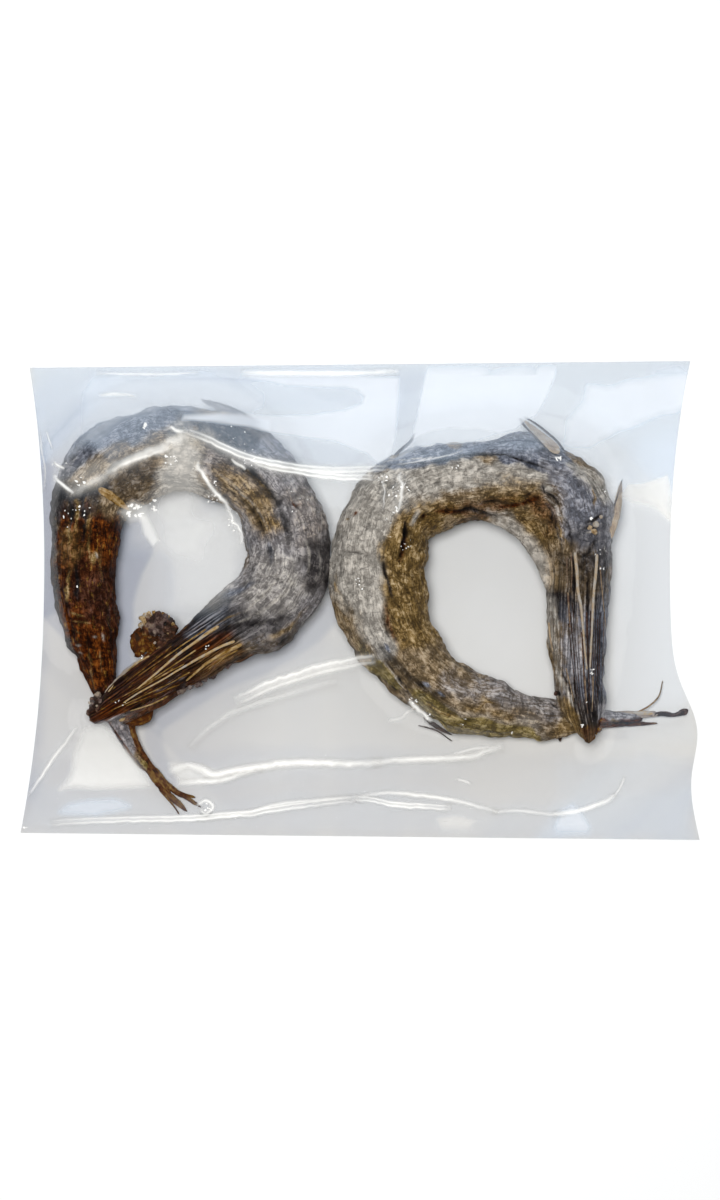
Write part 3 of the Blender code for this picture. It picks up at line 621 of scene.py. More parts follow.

# Clusters of small facets of crumpled film, each a painted glint: place, reach and size
# of a facet in pixels, and how many
GLINTS = (
    (135, 511, 8, 2.2, 22), (155, 505, 6, 1.5, 9), (171, 460, 7, 1.5, 10), (81, 482, 5, 2.2, 5),
    (84, 509, 8, 1.3, 7), (214, 492, 12, 1.3, 12), (234, 522, 9, 1.2, 9), (144, 426, 2, 2.8, 2),
    (77, 586, 1, 1.2, 2), (396, 510, 4, 1.6, 5), (384, 478, 6, 1.5, 7), (393, 492, 6, 1.5, 6),
    (388, 520, 5, 1.2, 4), (405, 488, 5, 1.4, 4), (559, 458, 3, 2.2, 4), (592, 672, 3, 1.4, 7),
    (583, 725, 2, 1.6, 3), (604, 490, 2, 1.2, 2), (593, 520, 3, 1.4, 4), (602, 568, 3, 1.1, 4),
    (586, 703, 1, 1.1, 1), (512, 733, 1, 1.4, 2), (413, 701, 4, 1.3, 6), (428, 719, 5, 1.3, 5),
    (207, 648, 3, 1.1, 3), (141, 657, 2, 1.4, 3), (120, 704, 6, 1, 6), (250, 461, 6, 1.2, 6),
    (360, 583, 7, 1, 7), (455, 466, 4, 1.1, 3), (463, 722, 5, 1, 4), (240, 440, 16, 0.9, 8),
    (300, 500, 14, 0.9, 10), (60, 470, 10, 1, 5), (70, 520, 12, 0.9, 8), (208, 807, 6, 1.4, 7),
    (26, 826, 3, 1.6, 3), (600, 552, 8, 0.9, 5), (400, 540, 14, 0.9, 9),
)

# Panes of painted light and shade on the film, by kind: a painted highlight,
# as pale as paper; a painted reflection of the bluish sky; and shade, a painted
# shadow that makes what the film lets through darker and bluer, or painted light
# that clears it where its strength is below 0; then strength, softness of the
# edge in pixels, and corners
PAINTED_LIGHT_PANES = {
    # painted highlights, pale and warm
    "white": (
        (0.65, 14, (628, 484, 640, 482, 668, 474, 672, 500, 668, 518, 655, 510, 636, 504, 626, 494)),
        (0.26, 22, (156, 500, 166, 464, 176, 430, 196, 424, 196, 460, 200, 500, 190, 520, 168, 516)),
        (0.22, 30, (126, 520, 150, 506, 200, 506, 220, 520, 200, 560, 150, 550, 128, 545)),
        (0.4, 9, (118, 512, 132, 500, 148, 506, 144, 520, 130, 524)),
        (0.62, 4, (139, 514, 146, 516, 158, 540, 153, 547, 144, 534)),
        (0.16, 14, (70, 498, 66, 478, 84, 464, 112, 458, 120, 470, 100, 492)),
        (0.62, 12, (84, 728, 104, 724, 120, 746, 132, 762, 147, 784, 60, 790, 74, 768, 80, 744)),
        (0.35, 10, (170, 764, 194, 765, 222, 774, 240, 772, 216, 782, 180, 784)),
        (0.25, 9, (434, 818, 456, 814, 482, 820, 470, 829, 440, 828)),
        (0.2, 24, (168, 520, 215, 515, 240, 545, 236, 590, 215, 612, 170, 612)),
    ),
    # painted reflections of the bluish sky and of a window
    "veil": (
        (0.20, 12, (30, 350, 700, 340, 690, 420, 672, 500, 640, 500, 612, 480, 585, 462, 545, 448,
            500, 448, 440, 460, 388, 466, 330, 470, 262, 462, 200, 436, 166, 436, 110, 462, 90, 440,
            54, 464, 40, 470, 30, 460)),
        (0.10, 14, (90, 376, 222, 376, 400, 377, 400, 412, 262, 414, 190, 408, 150, 396, 90, 404)),
        (0.2, 18, (84, 392, 120, 376, 200, 376, 262, 396, 262, 408, 200, 408, 160, 412, 132, 420,
            110, 432, 96, 444, 84, 440)),
        (0.45, 4, (188, 418, 217, 415, 247, 417, 270, 420, 270, 431, 258, 427, 233, 424, 200, 421)),
        (0.46, 4, (222, 371, 400, 377, 397, 402, 395, 440, 389, 457, 378, 463, 368, 454, 336, 441,
            288, 434, 262, 431, 246, 426, 222, 420, 182, 420, 184, 415, 222, 413, 262, 415, 310, 415,
            345, 411, 362, 404, 365, 396, 357, 389, 345, 386, 285, 384, 255, 379)),
        (0.56, 3, (427, 369, 447, 369, 490, 375, 535, 374, 557, 366, 555, 377, 547, 396, 536, 416,
            526, 420, 515, 429, 500, 433, 480, 429, 450, 427, 432, 430, 412, 438, 417, 420, 422, 394)),
        (0.26, 3, (412, 436, 432, 429, 450, 426, 480, 428, 502, 431, 490, 437, 472, 442, 455, 444,
            436, 443, 420, 446, 404, 456, 396, 460)),
        (0.52, 14, (590, 388, 640, 382, 692, 374, 692, 404, 660, 412, 640, 419, 625, 426, 606, 438,
            588, 448, 564, 444, 570, 422, 586, 404)),
        (0.07, 26, (612, 470, 690, 420, 690, 560, 690, 740, 612, 740, 618, 560, 612, 500)),
        (0.36, 10, (60, 812, 70, 803, 112, 800, 128, 806, 96, 814)),
        (0.45, 9, (555, 828, 560, 812, 572, 803, 582, 812, 594, 832)),
        (0.08, 20, (540, 840, 560, 762, 690, 756, 700, 840)),
        (0.06, 16, (20, 830, 40, 786, 200, 800, 360, 790, 520, 806, 690, 790, 690, 842, 360, 832)),
    ),
    # painted shadows and darker, bluer film, and, where the strength is below 0, painted light over the
    # holes and the right margin
    "shade": (
        (-0.55, 26, (600, 470, 690, 420, 690, 560, 690, 700, 600, 760, 600, 560, 608, 500)),
        (-0.55, 14, (160, 520, 215, 510, 238, 540, 240, 570, 220, 600, 170, 612, 144, 606, 152, 560)),
        (-0.34, 14, (446, 516, 500, 512, 540, 560, 550, 696, 510, 694, 460, 664, 434, 620, 432, 556)),
        (0.12, 24, (34, 372, 420, 372, 400, 440, 262, 440, 110, 396, 70, 430, 40, 450)),
        (0.16, 20, (14, 840, 40, 760, 200, 752, 420, 748, 600, 752, 700, 760, 700, 846)),
        (0.75, 8, (116, 512, 140, 518, 157, 536, 154, 552, 141, 574, 135, 602, 132, 640, 135, 664,
            128, 690, 112, 694, 116, 640, 112, 590)),
        (0.35, 16, (30, 400, 42, 440, 46, 560, 44, 660, 40, 760, 24, 830, 14, 830, 30, 640)),
        (0.22, 8, (396, 372, 426, 371, 416, 430, 400, 462, 392, 462, 397, 430)),
        (0.22, 6, (262, 440, 290, 438, 340, 445, 372, 458, 380, 466, 320, 466, 280, 460)),
        (0.35, 5, (180, 376, 240, 378, 400, 377, 400, 380, 240, 382, 180, 380)),
        (0.12, 20, (180, 700, 260, 660, 320, 620, 330, 650, 260, 700, 190, 720)),
        (0.5, 8, (150, 716, 190, 692, 222, 672, 256, 652, 292, 634, 316, 612, 330, 590, 338, 622,
            318, 642, 292, 660, 258, 676, 222, 694, 190, 712, 160, 732)),
        (0.45, 9, (144, 720, 160, 732, 167, 758, 178, 784, 168, 784, 154, 762, 146, 744)),
        (0.4, 8, (600, 726, 628, 728, 630, 740, 600, 744)),
        (0.7, 7, (34, 440, 54, 466, 54, 560, 58, 612, 40, 618, 34, 560)),
        (0.4, 10, (604, 560, 612, 560, 614, 640, 612, 706, 604, 706)),
    ),
}


class PouchSettings(bpy.types.PropertyGroup):
    """Sizes, colours and lights that a user would change."""
    skin_brown: FloatVectorProperty(
        name="Smoked brown", description="Main colour of the dried skin",
        subtype="COLOR", default=(0.245, 0.176, 0.10))
    skin_red: FloatVectorProperty(
        name="Red brown", description="Deepest smoked flank",
        subtype="COLOR", default=(0.093, 0.0235, 0.0028))
    skin_gold: FloatVectorProperty(
        name="Oily gold", description="Oily flesh that shows golden",
        subtype="COLOR", default=(0.25, 0.161, 0.055))
    skin_olive: FloatVectorProperty(
        name="Olive", description="Oily olive stripe along the outer edge",
        subtype="COLOR", default=(0.215, 0.158, 0.035))
    skin_pale: FloatVectorProperty(
        name="Pale belly", description="Grey beige belly skin",
        subtype="COLOR", default=(0.44, 0.41, 0.372))
    skin_grey: FloatVectorProperty(
        name="Grey skin", description="Blue grey skin of the throat and sides",
        subtype="COLOR", default=(0.31, 0.302, 0.325))
    skin_blue: FloatVectorProperty(
        name="Blue grey skin", description="Scaly back skin",
        subtype="COLOR", default=(0.185, 0.20, 0.25))
    skin_char: FloatVectorProperty(
        name="Char", description="Blackened skin",
        subtype="COLOR", default=(0.028, 0.0225, 0.0235))
    skin_amber: FloatVectorProperty(
        name="Amber", description="Oily flecks of the red brown flank",
        subtype="COLOR", default=(0.245, 0.135, 0.025))
    bone_tan: FloatVectorProperty(
        name="Bone", description="Dried jaw bones and gill rays",
        subtype="COLOR", default=(0.50, 0.345, 0.165))
    film_tint: FloatVectorProperty(
        name="Film tint", description="What the film lets through",
        subtype="COLOR", default=(0.918, 0.912, 0.902))
    # painted reflection: the bluish colour of the film's painted sky reflections
    film_sky_reflection: FloatVectorProperty(
        name="Film haze", description="Bluish haze where the film faces the sky",
        subtype="COLOR", default=(0.56, 0.68, 0.83))
    film_gloss: FloatProperty(
        name="Film gloss", description="Roughness of the film's gleam",
        default=0.07, min=0.0, max=1.0)
    camera_distance: FloatProperty(
        name="Camera distance", description="From the camera to the pouch",
        unit="LENGTH", default=CAMERA_DISTANCE)
    camera_tilt: FloatProperty(
        name="Camera tilt", description="From straight down towards the tails",
        subtype="ANGLE", default=CAMERA_TILT)
    window_power: FloatProperty(
        name="Window", description="Light of the bluish window behind the pouch",
        unit="POWER", default=6.0)
    top_power: FloatProperty(
        name="Top light", description="Soft light from above, a little to the left",
        unit="POWER", default=22.0)


# ---- lines, noise and grids

def smooth_route(rows):
    """A smooth curve through the rows, as an array of its samples, in metres."""
    rows = np.array(rows, float) * MM
    ends = np.vstack((2 * rows[0] - rows[1], rows, 2 * rows[-1] - rows[-2]))
    samples = []
    for before, start, end, after in zip(ends, ends[1:], ends[2:], ends[3:]):
        for t in np.arange(ROUTE_STEPS) / ROUTE_STEPS:
            curve = (2 * start + (end - before) * t
                     + (2 * before - 5 * start + 4 * end - after) * t ** 2
                     + (3 * start - before - 3 * end + after) * t ** 3)
            samples.append(curve / 2)
    samples.append(rows[-1])
    return np.array(samples)


def passed(steps):
    """How far along a line each of its samples is, from the steps between them."""
    return np.concatenate(([0], np.cumsum(steps)))


def columns_at(place, along, line):
    """Each column of a line at a place along it."""
    return [np.interp(place, along, column) for column in line.T]


def ramp(value, start, soft):
    """0 before start and 1 after it, eased over soft."""
    t = np.clip((value - start) / soft + 0.5, 0, 1)
    return t * t * (3 - 2 * t)


def bell(away, reach):
    """1 at a line or place, and easing to 0 well past its reach."""
    return np.exp(-(away / reach) ** 2)


def bow(along, margin, power):
    """A share that swells from the ends of a line to 1 at its middle."""
    return np.sin(np.pi * np.clip(along, margin, 1 - margin)) ** power


def seen(points):
    """Where the camera sees each point, in pixels of the picture."""
    right, ahead, up = (np.asarray(points) - CAMERA_TARGET).T
    sine, cosine = np.sin(CAMERA_TILT), np.cos(CAMERA_TILT)
    depth = CAMERA_DISTANCE + ahead * sine - up * cosine
    rise = ahead * cosine + up * sine
    return (PICTURE[0] / 2 + FOCAL * right / depth,
            PICTURE[1] / 2 - FOCAL * rise / depth)


def landed(pixels, height_of):
    """The points of a surface that the camera sees at places in the picture."""
    across, down = np.asarray(pixels, float).T
    right = (across - PICTURE[0] / 2) / FOCAL
    rise = (PICTURE[1] / 2 - down) / FOCAL
    sine, cosine = np.sin(CAMERA_TILT), np.cos(CAMERA_TILT)
    z = np.full_like(right, SIGHT_HEIGHT)
    for _ in range(SIGHT_STEPS):
        up = z - CAMERA_TARGET[2]
        ahead = ((rise * (CAMERA_DISTANCE - up * cosine) - up * sine)
                 / (cosine - rise * sine))
        x = right * (CAMERA_DISTANCE + ahead * sine - up * cosine)
        y = ahead + CAMERA_TARGET[1]
        z = (z + height_of(x, y)) / 2
    return np.stack((x, y, z), axis=-1)


def smooth_line(points, step):
    """A smooth line through places in the picture, with samples a step apart."""
    line = smooth_route(np.reshape(points, (-1, 2)) / MM)
    along = passed(np.hypot(*np.diff(line, axis=0).T))
    at = np.linspace(0, along[-1], max(4, round(along[-1] / step)))
    return np.stack(columns_at(at, along, line), axis=-1)


def lattice(x, y, z, seed):
    """A fixed value, -1 to 1, for each corner of a lattice."""
    mixed = (x * 73856093) ^ (y * 19349663) ^ (z * 83492791) ^ (seed * 7919)
    mixed = (mixed ^ (mixed >> 13)) * 1274126177
    mixed = mixed ^ (mixed >> 16)
    return (mixed & 0xFFFF) / 32767.5 - 1


def bumps(points, size, seed, octaves=3):
    """Smooth noise, about -1 to 1, at each point; size is its largest bump."""
    points = np.asarray(points) / np.asarray(size)
    total = np.zeros(len(points))
    weight = 1.0
    for octave in range(octaves):
        place = points * 2 ** octave
        corner = np.floor(place).astype(np.int64)
        part = place - corner
        part = part * part * (3 - 2 * part)
        for step in product((0, 1), repeat=3):
            near = np.abs(1 - np.array(step) - part)
            total += weight * near[:, 0] * near[:, 1] * near[:, 2] * lattice(
                *(corner + step).T, seed + octave)
        weight /= 2
    return total


def flat_points(u, v):
    """Points (u, v, 0) for noise that follows a surface."""
    return np.stack((u, v, np.zeros_like(u)), axis=-1)


def flow_grid(flow, long_mm, wide_mm):
    """Flow coordinates for noise whose bumps are long_mm by wide_mm."""
    return flow / (np.array((long_mm, wide_mm, 1)) * MM)


def mesh_of(name, shape):
    """A mesh made of a finished shape."""
    mesh = bpy.data.meshes.new(name)
    shape.to_mesh(mesh)
    shape.free()
    return mesh


def corners_of(mesh):
    """The place of each of a mesh's vertices."""
    flat = np.zeros(len(mesh.vertices) * 3)
    mesh.vertices.foreach_get("co", flat)
    return flat.reshape(-1, 3)


def paint(mesh, points, masks):
    """Moves a mesh's vertices to points, and gives each its share of the masks."""
    mesh.vertices.foreach_set("co", points.ravel())
    for mask, values in masks.items():
        kind, field = (("FLOAT_VECTOR", "vector") if values.ndim == 2
                       else ("FLOAT", "value"))
        layer = mesh.attributes.new(mask, kind, "POINT")
        layer.data.foreach_set(field, values.astype(np.float32).ravel())


def grid_mesh(name, cells_u, cells_v, place, weld=False):
    """A grid bent to place(u, v), u and v 0 to 1, which gives points and masks."""
    shape = bmesh.new()
    bmesh.ops.create_grid(shape, x_segments=cells_u, y_segments=cells_v, size=1)
    mesh = mesh_of(name, shape)
    flat = corners_of(mesh)
    paint(mesh, *place((flat[:, 0] + 1) / 2, (flat[:, 1] + 1) / 2))
    if weld:
        shape = bmesh.new()
        shape.from_mesh(mesh)
        bmesh.ops.remove_doubles(shape, verts=shape.verts, dist=WELD)
        bmesh.ops.dissolve_degenerate(shape, edges=shape.edges, dist=FLAT_EDGE)
        bmesh.ops.recalc_face_normals(shape, faces=shape.faces)
        shape.to_mesh(mesh)
        shape.free()
    mesh.shade_smooth()
    return mesh


def show(name, mesh, material, stands_for=None):
    """Puts a finished mesh in the scene as a piece of the pouch."""
    piece = bpy.data.objects.new(name, mesh)
    bpy.context.scene.collection.objects.link(piece)
    mesh.materials.append(material)
    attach(piece, BODY)
    if stands_for:
        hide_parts(stands_for)


def join_meshes(name, meshes):
    """One mesh of several."""
    shape = bmesh.new()
    for mesh in meshes:
        shape.from_mesh(mesh)
        bpy.data.meshes.remove(mesh)
    joined = mesh_of(name, shape)
    joined.shade_smooth()
    return joined


class Fish:
    """A fish's bent line with its half sizes, and the marks on its skin."""

    def __init__(self, name, rows, body_end, combed, trims, patches, strokes, bones,
                 fibres):
        self.name, self.body_end, self.combed = name, body_end, combed
        self.trims, self.patches, self.strokes = trims, patches, strokes
        self.bones, self.fibres = bones, fibres
        line = smooth_route(rows)
        along = passed(np.hypot(*np.diff(line[:, :2], axis=0).T))
        heading = np.gradient(line[:, :2], along, axis=0)
        edge = HEADING_BLUR // 2
        padded = np.pad(heading, ((edge, edge), (0, 0)), mode="edge")
        kernel = np.ones(HEADING_BLUR) / HEADING_BLUR
        heading = np.stack([np.convolve(column, kernel, "valid")
                            for column in padded.T], axis=1)
        heading /= np.hypot(*heading.T)[:, None]
        self.snout = SNOUT_ROUND * line[0, 2]
        first = line[:1].copy()
        first[0, :2] -= heading[0] * self.snout
        self.line = np.vstack((first, line))
        self.along = np.concatenate(([-self.snout], along))
        heading = np.vstack((heading[:1], heading))
        self.outward = np.stack((heading[:, 1], -heading[:, 0]), axis=1)

    def read(self, s):
        """x, y, half width, half height and height of the axis at s."""
        return columns_at(s, self.along, self.line)

    def surface(self, s, angle, lift=0.0):
        """Points on the skin; angle 0 is the belly and pi / 2 the outside."""
        x, y, wide, high, axis = self.read(s)
        out_x, out_y = columns_at(s, self.along, self.outward)
        round_off = np.sqrt(np.clip(1 - (np.minimum(s, 0) / self.snout) ** 2, 0, 1))
        left_over = np.clip((self.body_end - s) / TAIL_CAP, 0, 1)
        round_off = round_off * np.sqrt(1 - (1 - left_over) ** 2)
        wide, high = wide * round_off, high * round_off
        across, rise = np.sin(angle), np.cos(angle)
        lean_out, lean_up = across * high, rise * wide
        size = np.hypot(lean_out, lean_up) + 1e-9
        lift = lift * np.minimum(1, round_off * 2)
        out = wide * across + lift * lean_out / size
        up = axis + high * rise + lift * lean_up / size
        up = np.maximum(up, UNDER_SHEET)
        return np.stack((x + out_x * out, y + out_y * out, up), axis=-1)


LEFT = Fish("left_fish", LEFT_FISH, LEFT_BODY_END, LEFT_COMBED, LEFT_TRIMS, LEFT_PATCHES,
            LEFT_STROKES, LEFT_BONES, LEFT_FIBRES)
RIGHT = Fish("right_fish", RIGHT_FISH, RIGHT_BODY_END, RIGHT_COMBED, RIGHT_TRIMS,
             RIGHT_PATCHES, RIGHT_STROKES, RIGHT_BONES, RIGHT_FIBRES)


# ---- the film's shape

def fish_top(x, y):
    """Height of the fish under each place, and 0 where there is none."""
    top = np.zeros_like(x)
    for rows in (LEFT_FISH, RIGHT_FISH):
        for sample_x, sample_y, half_width, half_height, axis in smooth_route(rows):
            away = ((x - sample_x) ** 2 + (y - sample_y) ** 2) / half_width ** 2
            under = away < 1
            height = axis + half_height * np.sqrt(np.where(under, 1 - away, 0))
            top = np.where(under, np.maximum(top, height), top)
    return top


def pouch_place(u, v):
    """Where the film at u along and v across the pouch, each -1 to 1, lies."""
    across = POUCH_WIDTH / 2 - LEFT_END_SHORTER * (1 - u) / 2
    y = v * across
    drawn = 1 - np.abs(v) ** SIDE_DRAW_POWER
    bulge = TAIL_BULGE * np.exp(-((y - TAIL_BULGE_Y) / TAIL_BULGE_REACH) ** 2)
    left = -POUCH_LENGTH / 2 + SIDE_DRAW_LEFT * drawn
    right = POUCH_LENGTH / 2 - SIDE_DRAW_RIGHT * drawn
    right = np.minimum(right + bulge, POUCH_LENGTH / 2)
    x = left + (right - left) * (u + 1) / 2
    return x, y


def pouch_lines(cells_along, cells_across):
    """The grid lines of the film; the outer ones across bound the seal bands."""
    u = np.linspace(-1, 1, cells_along + 1)
    inner = np.linspace(-1 + SEAL_SHARE, 1 - SEAL_SHARE, cells_across - 1)
    v = np.concatenate(([-1], inner, [1]))
    return np.meshgrid(u, v, indexing="ij")


def resize(field, shape):
    """The same field on a grid of another shape."""
    for axis, count in enumerate(shape):
        old = np.linspace(0, 1, field.shape[axis])
        new = np.linspace(0, 1, count)
        field = np.apply_along_axis(lambda line: np.interp(new, old, line),
                                    axis, field)
    return field


def settle_film(cells_along, cells_across):
    """x, y and height of the film, drawn over the fish like a taut skin."""
    height = None
    for level in reversed(range(SETTLE_LEVELS)):
        along = max(cells_along >> level, FEWEST_CELLS)
        across = max(cells_across >> level, FEWEST_CELLS)
        x, y = pouch_place(*pouch_lines(along, across))
        floor = fish_top(x, y)
        floor = np.where(floor > 0, floor + FILM_GAP, EDGE_THICKNESS)
        height = floor.copy() if height is None else resize(height, floor.shape)
        cell = POUCH_LENGTH / along
        for _ in range(SETTLE_PASSES):
            mean = (height[2:, 1:-1] + height[:-2, 1:-1]
                    + height[1:-1, 2:] + height[1:-1, :-2]) / 4
            mean -= FILM_SAG * cell ** 2 / 4
            height[1:-1, 1:-1] = np.maximum(mean, floor[1:-1, 1:-1])
            height[[0, -1], :] = EDGE_THICKNESS
            height[:, [0, 1, -2, -1]] = EDGE_THICKNESS
    return x, y, height


def away_from_line(x, y, points):
    """How far each place is from a line of points, and 0 to 1 along it."""
    points = np.reshape(points, (-1, 2)).astype(float)
    lengths = np.hypot(*np.diff(points, axis=0).T)
    before = passed(lengths)
    nearest = np.full(x.shape, np.inf)
    along = np.zeros(x.shape)
    for start, end, length, gone in zip(points, points[1:], lengths, before):
        step = (end - start) / length
        t = np.clip((x - start[0]) * step[0] + (y - start[1]) * step[1], 0, length)
        away = np.hypot(x - start[0] - step[0] * t, y - start[1] - step[1] * t)
        closer = away < nearest
        nearest = np.where(closer, away, nearest)
        along = np.where(closer, (gone + t) / before[-1], along)
    return nearest, along


def inside_of(x, y, corners):
    """True where a place lies inside a ring of corners."""
    corners = np.reshape(corners, (-1, 2))
    inside = np.zeros(x.shape, bool)
    for (x0, y0), (x1, y1) in zip(corners, np.roll(corners, -1, axis=0)):
        crosses = (y0 > y) != (y1 > y)
        rise = y1 - y0 if y1 != y0 else 1e-9
        inside ^= crosses & (x < (x1 - x0) * (y - y0) / rise + x0)
    return inside


def patch_share(x, y, corners, soft, tear):
    """0 outside a ring of corners, 1 inside it, eased over soft at a torn edge."""
    away, _ = away_from_line(x, y, (*corners, *corners[:2]))
    return ramp(np.where(inside_of(x, y, corners), away, -away) + tear, 0, soft)


def crease_film(x, y, height):
    """The film with its folds, and masks of its painted highlights, reflections, shade and light, and of
    its crinkles.
    """
    spots = np.stack((x.ravel(), y.ravel(), height.ravel()), axis=-1)
    across, down = [place.reshape(x.shape) for place in seen(spots)]
    spots[:, 2] = 0
    inside = np.clip((height - EDGE_THICKNESS) / FOLD_RIM, 0, 1)
    shine = {kind: np.zeros_like(x) for kind in PAINTED_LIGHT_PANES}
    for half, _, painted_highlight_strength, rise, _, points in FOLDS:
        away, along = away_from_line(across, down, points)
        taper = bow(along, 0.02, 0.5)
        height = height + rise * MM * np.exp(-away / half) * taper * inside
        halo = HALO * painted_highlight_strength * np.exp(-away / (HALO_REACH * half)) * taper
        shine["white"] = np.maximum(shine["white"], halo)
    tear = bumps(spots, PANE_TEAR_SIZE, seed=15, octaves=2).reshape(x.shape)
    for kind, panes in PAINTED_LIGHT_PANES.items():
        for strength, soft, corners in panes:
            pane = strength * patch_share(across, down, corners, soft,
                                          PANE_TEAR * soft * tear)
            shine[kind] += pane * (1 - shine[kind])
    crinkle = np.zeros_like(x)
    for spot_x, spot_y, reach, _, _ in GLINTS:
        away = np.hypot(across - spot_x, down - spot_y)
        crinkle = np.maximum(crinkle, bell(away, CRINKLE_REACH * reach))
    wave = bumps(spots, WAVE_SIZE, seed=5, octaves=2).reshape(x.shape)
    fine = bumps(spots, CRUMPLE_SIZE, seed=9, octaves=2).reshape(x.shape)
    crumple = (CRUMPLE + CRINKLE * crinkle) * fine
    height = height + inside * MM * (WAVE * wave + crumple)
    height = np.maximum(height, EDGE_THICKNESS * THINNEST_EDGE)
    return height, {**shine, "crinkle": crinkle}


@cache
def film_field():
    """The film's x, y, height and masks on its grid."""
    x, y, height = settle_film(CELLS_ALONG, CELLS_ACROSS)
    height, masks = crease_film(x, y, height)
    return x, y, height, masks


def film_over(x, y):
    """Height of the film over each place."""
    _, _, height, _ = film_field()
    u = np.zeros_like(x)
    for _ in range(FILM_STEPS):
        v = np.clip(y / (POUCH_WIDTH / 2 - LEFT_END_SHORTER * (1 - u) / 2), -1, 1)
        left, _ = pouch_place(-np.ones_like(v), v)
        right, _ = pouch_place(np.ones_like(v), v)
        u = np.clip((x - left) / (right - left) * 2 - 1, -1, 1)
    i = np.clip((u + 1) / 2 * CELLS_ALONG, 0, CELLS_ALONG - 1e-6)
    j = np.clip(1 + (v + 1 - SEAL_SHARE) / (2 - 2 * SEAL_SHARE) * (CELLS_ACROSS - 2),
                0, CELLS_ACROSS - 1e-6)
    i0, j0 = i.astype(int), j.astype(int)
    fi, fj = i - i0, j - j0
    return ((height[i0, j0] * (1 - fi) + height[i0 + 1, j0] * fi) * (1 - fj)
            + (height[i0, j0 + 1] * (1 - fi) + height[i0 + 1, j0 + 1] * fi) * fj)


def under_film(points):
    """The same points, pressed down where they would come through the film."""
    x, y, up = points.T
    points[:, 2] = np.maximum(np.minimum(up, film_over(x, y) - UNDER_FILM),
                              UNDER_SHEET)
    return points


# ---- materials

class Shade:
    """Adds nodes to a tree, each wired as it is made."""

    def __init__(self, tree):
        self.tree = tree

    def add(self, kind, inputs=None, **settings):
        """A node with its settings, and with a value or a link at each input."""
        node = self.tree.nodes.new(kind)
        for name, value in settings.items():
            setattr(node, name, value)
        self.wire(node, inputs or {})
        return node

    def wire(self, node, inputs):
        """Links each input of a node to its value, or sets it."""
        for key, value in inputs.items():
            socket = node.inputs[key]
            if isinstance(value, bpy.types.NodeSocket):
                self.tree.links.new(value, socket)
            elif hasattr(value, "__len__") and len(socket.default_value) == 4:
                socket.default_value = (*tuple(value)[:3], 1.0)
            else:
                socket.default_value = value

    def math(self, operation, *values):
        """An operation on one, two or three values."""
        return self.add("ShaderNodeMath", dict(enumerate(values)),
                        operation=operation).outputs[0]

    def sum(self, value, times, plus=0.0):
        """value * times + plus."""
        return self.math("MULTIPLY_ADD", value, times, plus)

    def total(self, start, *parts):
        """start and a share of each value, from pairs of value and share."""
        for value, share in parts:
            start = self.sum(value, share, start)
        return start

    def times(self, value, other):
        """value * other."""
        return self.math("MULTIPLY", value, other)

    def blend(self, low, high, factor):
        """A mix of two colours."""
        node = self.add("ShaderNodeMix", data_type="RGBA", blend_type="MIX")
        self.wire(node, {0: factor, 6: low, 7: high})
        return node.outputs[2]

    def mix(self, share, first, second):
        """A mix of two shaders."""
        return self.add("ShaderNodeMixShader", {0: share, 1: first, 2: second}).outputs[0]

    def clear(self, colour=(1.0, 1.0, 1.0)):
        """A shader that lets light through, tinted."""
        return self.add("ShaderNodeBsdfTransparent", {"Color": colour}).outputs[0]

    def scale(self, vector, factor):
        """A vector made longer or shorter, or a colour lighter or darker."""
        return self.add("ShaderNodeVectorMath", {0: vector, "Scale": factor},
                        operation="SCALE").outputs[0]

    def stretched(self, vector, by):
        """A vector stretched along each of its axes."""
        return self.add("ShaderNodeMapping", {"Vector": vector, "Scale": by}
                        ).outputs["Vector"]

    def moved(self, vector, by):
        """A vector moved by another."""
        return self.add("ShaderNodeVectorMath", {0: vector, 1: by},
                        operation="ADD").outputs[0]

    def gamma(self, colour, power):
        """A colour to a power: under 1 lightens it, over 1 darkens and deepens it."""
        return self.add("ShaderNodeGamma", {"Color": colour, "Gamma": power}
                        ).outputs["Color"]

    def noise(self, vector, scale, detail=3.0, rough=0.55, output="Fac"):
        """Noise, 0 to 1, with so many bumps to a metre."""
        return self.add("ShaderNodeTexNoise", {
            "Vector": vector, "Scale": scale, "Detail": detail,
            "Roughness": rough}).outputs[output]

    def between(self, value, low, high):
        """value eased from 0 at low to 1 at high."""
        return self.add("ShaderNodeMapRange",
                        {"Value": value, "From Min": low, "From Max": high},
                        interpolation_type="SMOOTHSTEP").outputs["Result"]

    def contrast(self, value):
        """Noise spread over the whole of 0 to 1."""
        return self.between(value, 0.30, 0.70)

    def place(self):
        """Where each point of the piece is."""
        return self.add("ShaderNodeTexCoord").outputs["Object"]

    def attribute(self, name, output="Fac"):
        """One of the mesh's own attributes."""
        return self.add("ShaderNodeAttribute", attribute_name=name).outputs[output]

    def bump(self, height, strength, distance):
        """A normal that leans as a height does."""
        return self.add("ShaderNodeBump", {"Height": height, "Strength": strength,
                                           "Distance": distance}).outputs["Normal"]

    def group(self, tree, inputs):
        """The outputs of a node group that is given inputs."""
        return self.add("ShaderNodeGroup", inputs, node_tree=tree).outputs


def new_material(name):
    """An empty node material, its Shade and its Principled BSDF."""
    material = bpy.data.materials.new(name)
    material.use_nodes = True
    shade = Shade(material.node_tree)
    return material, shade, material.node_tree.nodes["Principled BSDF"]


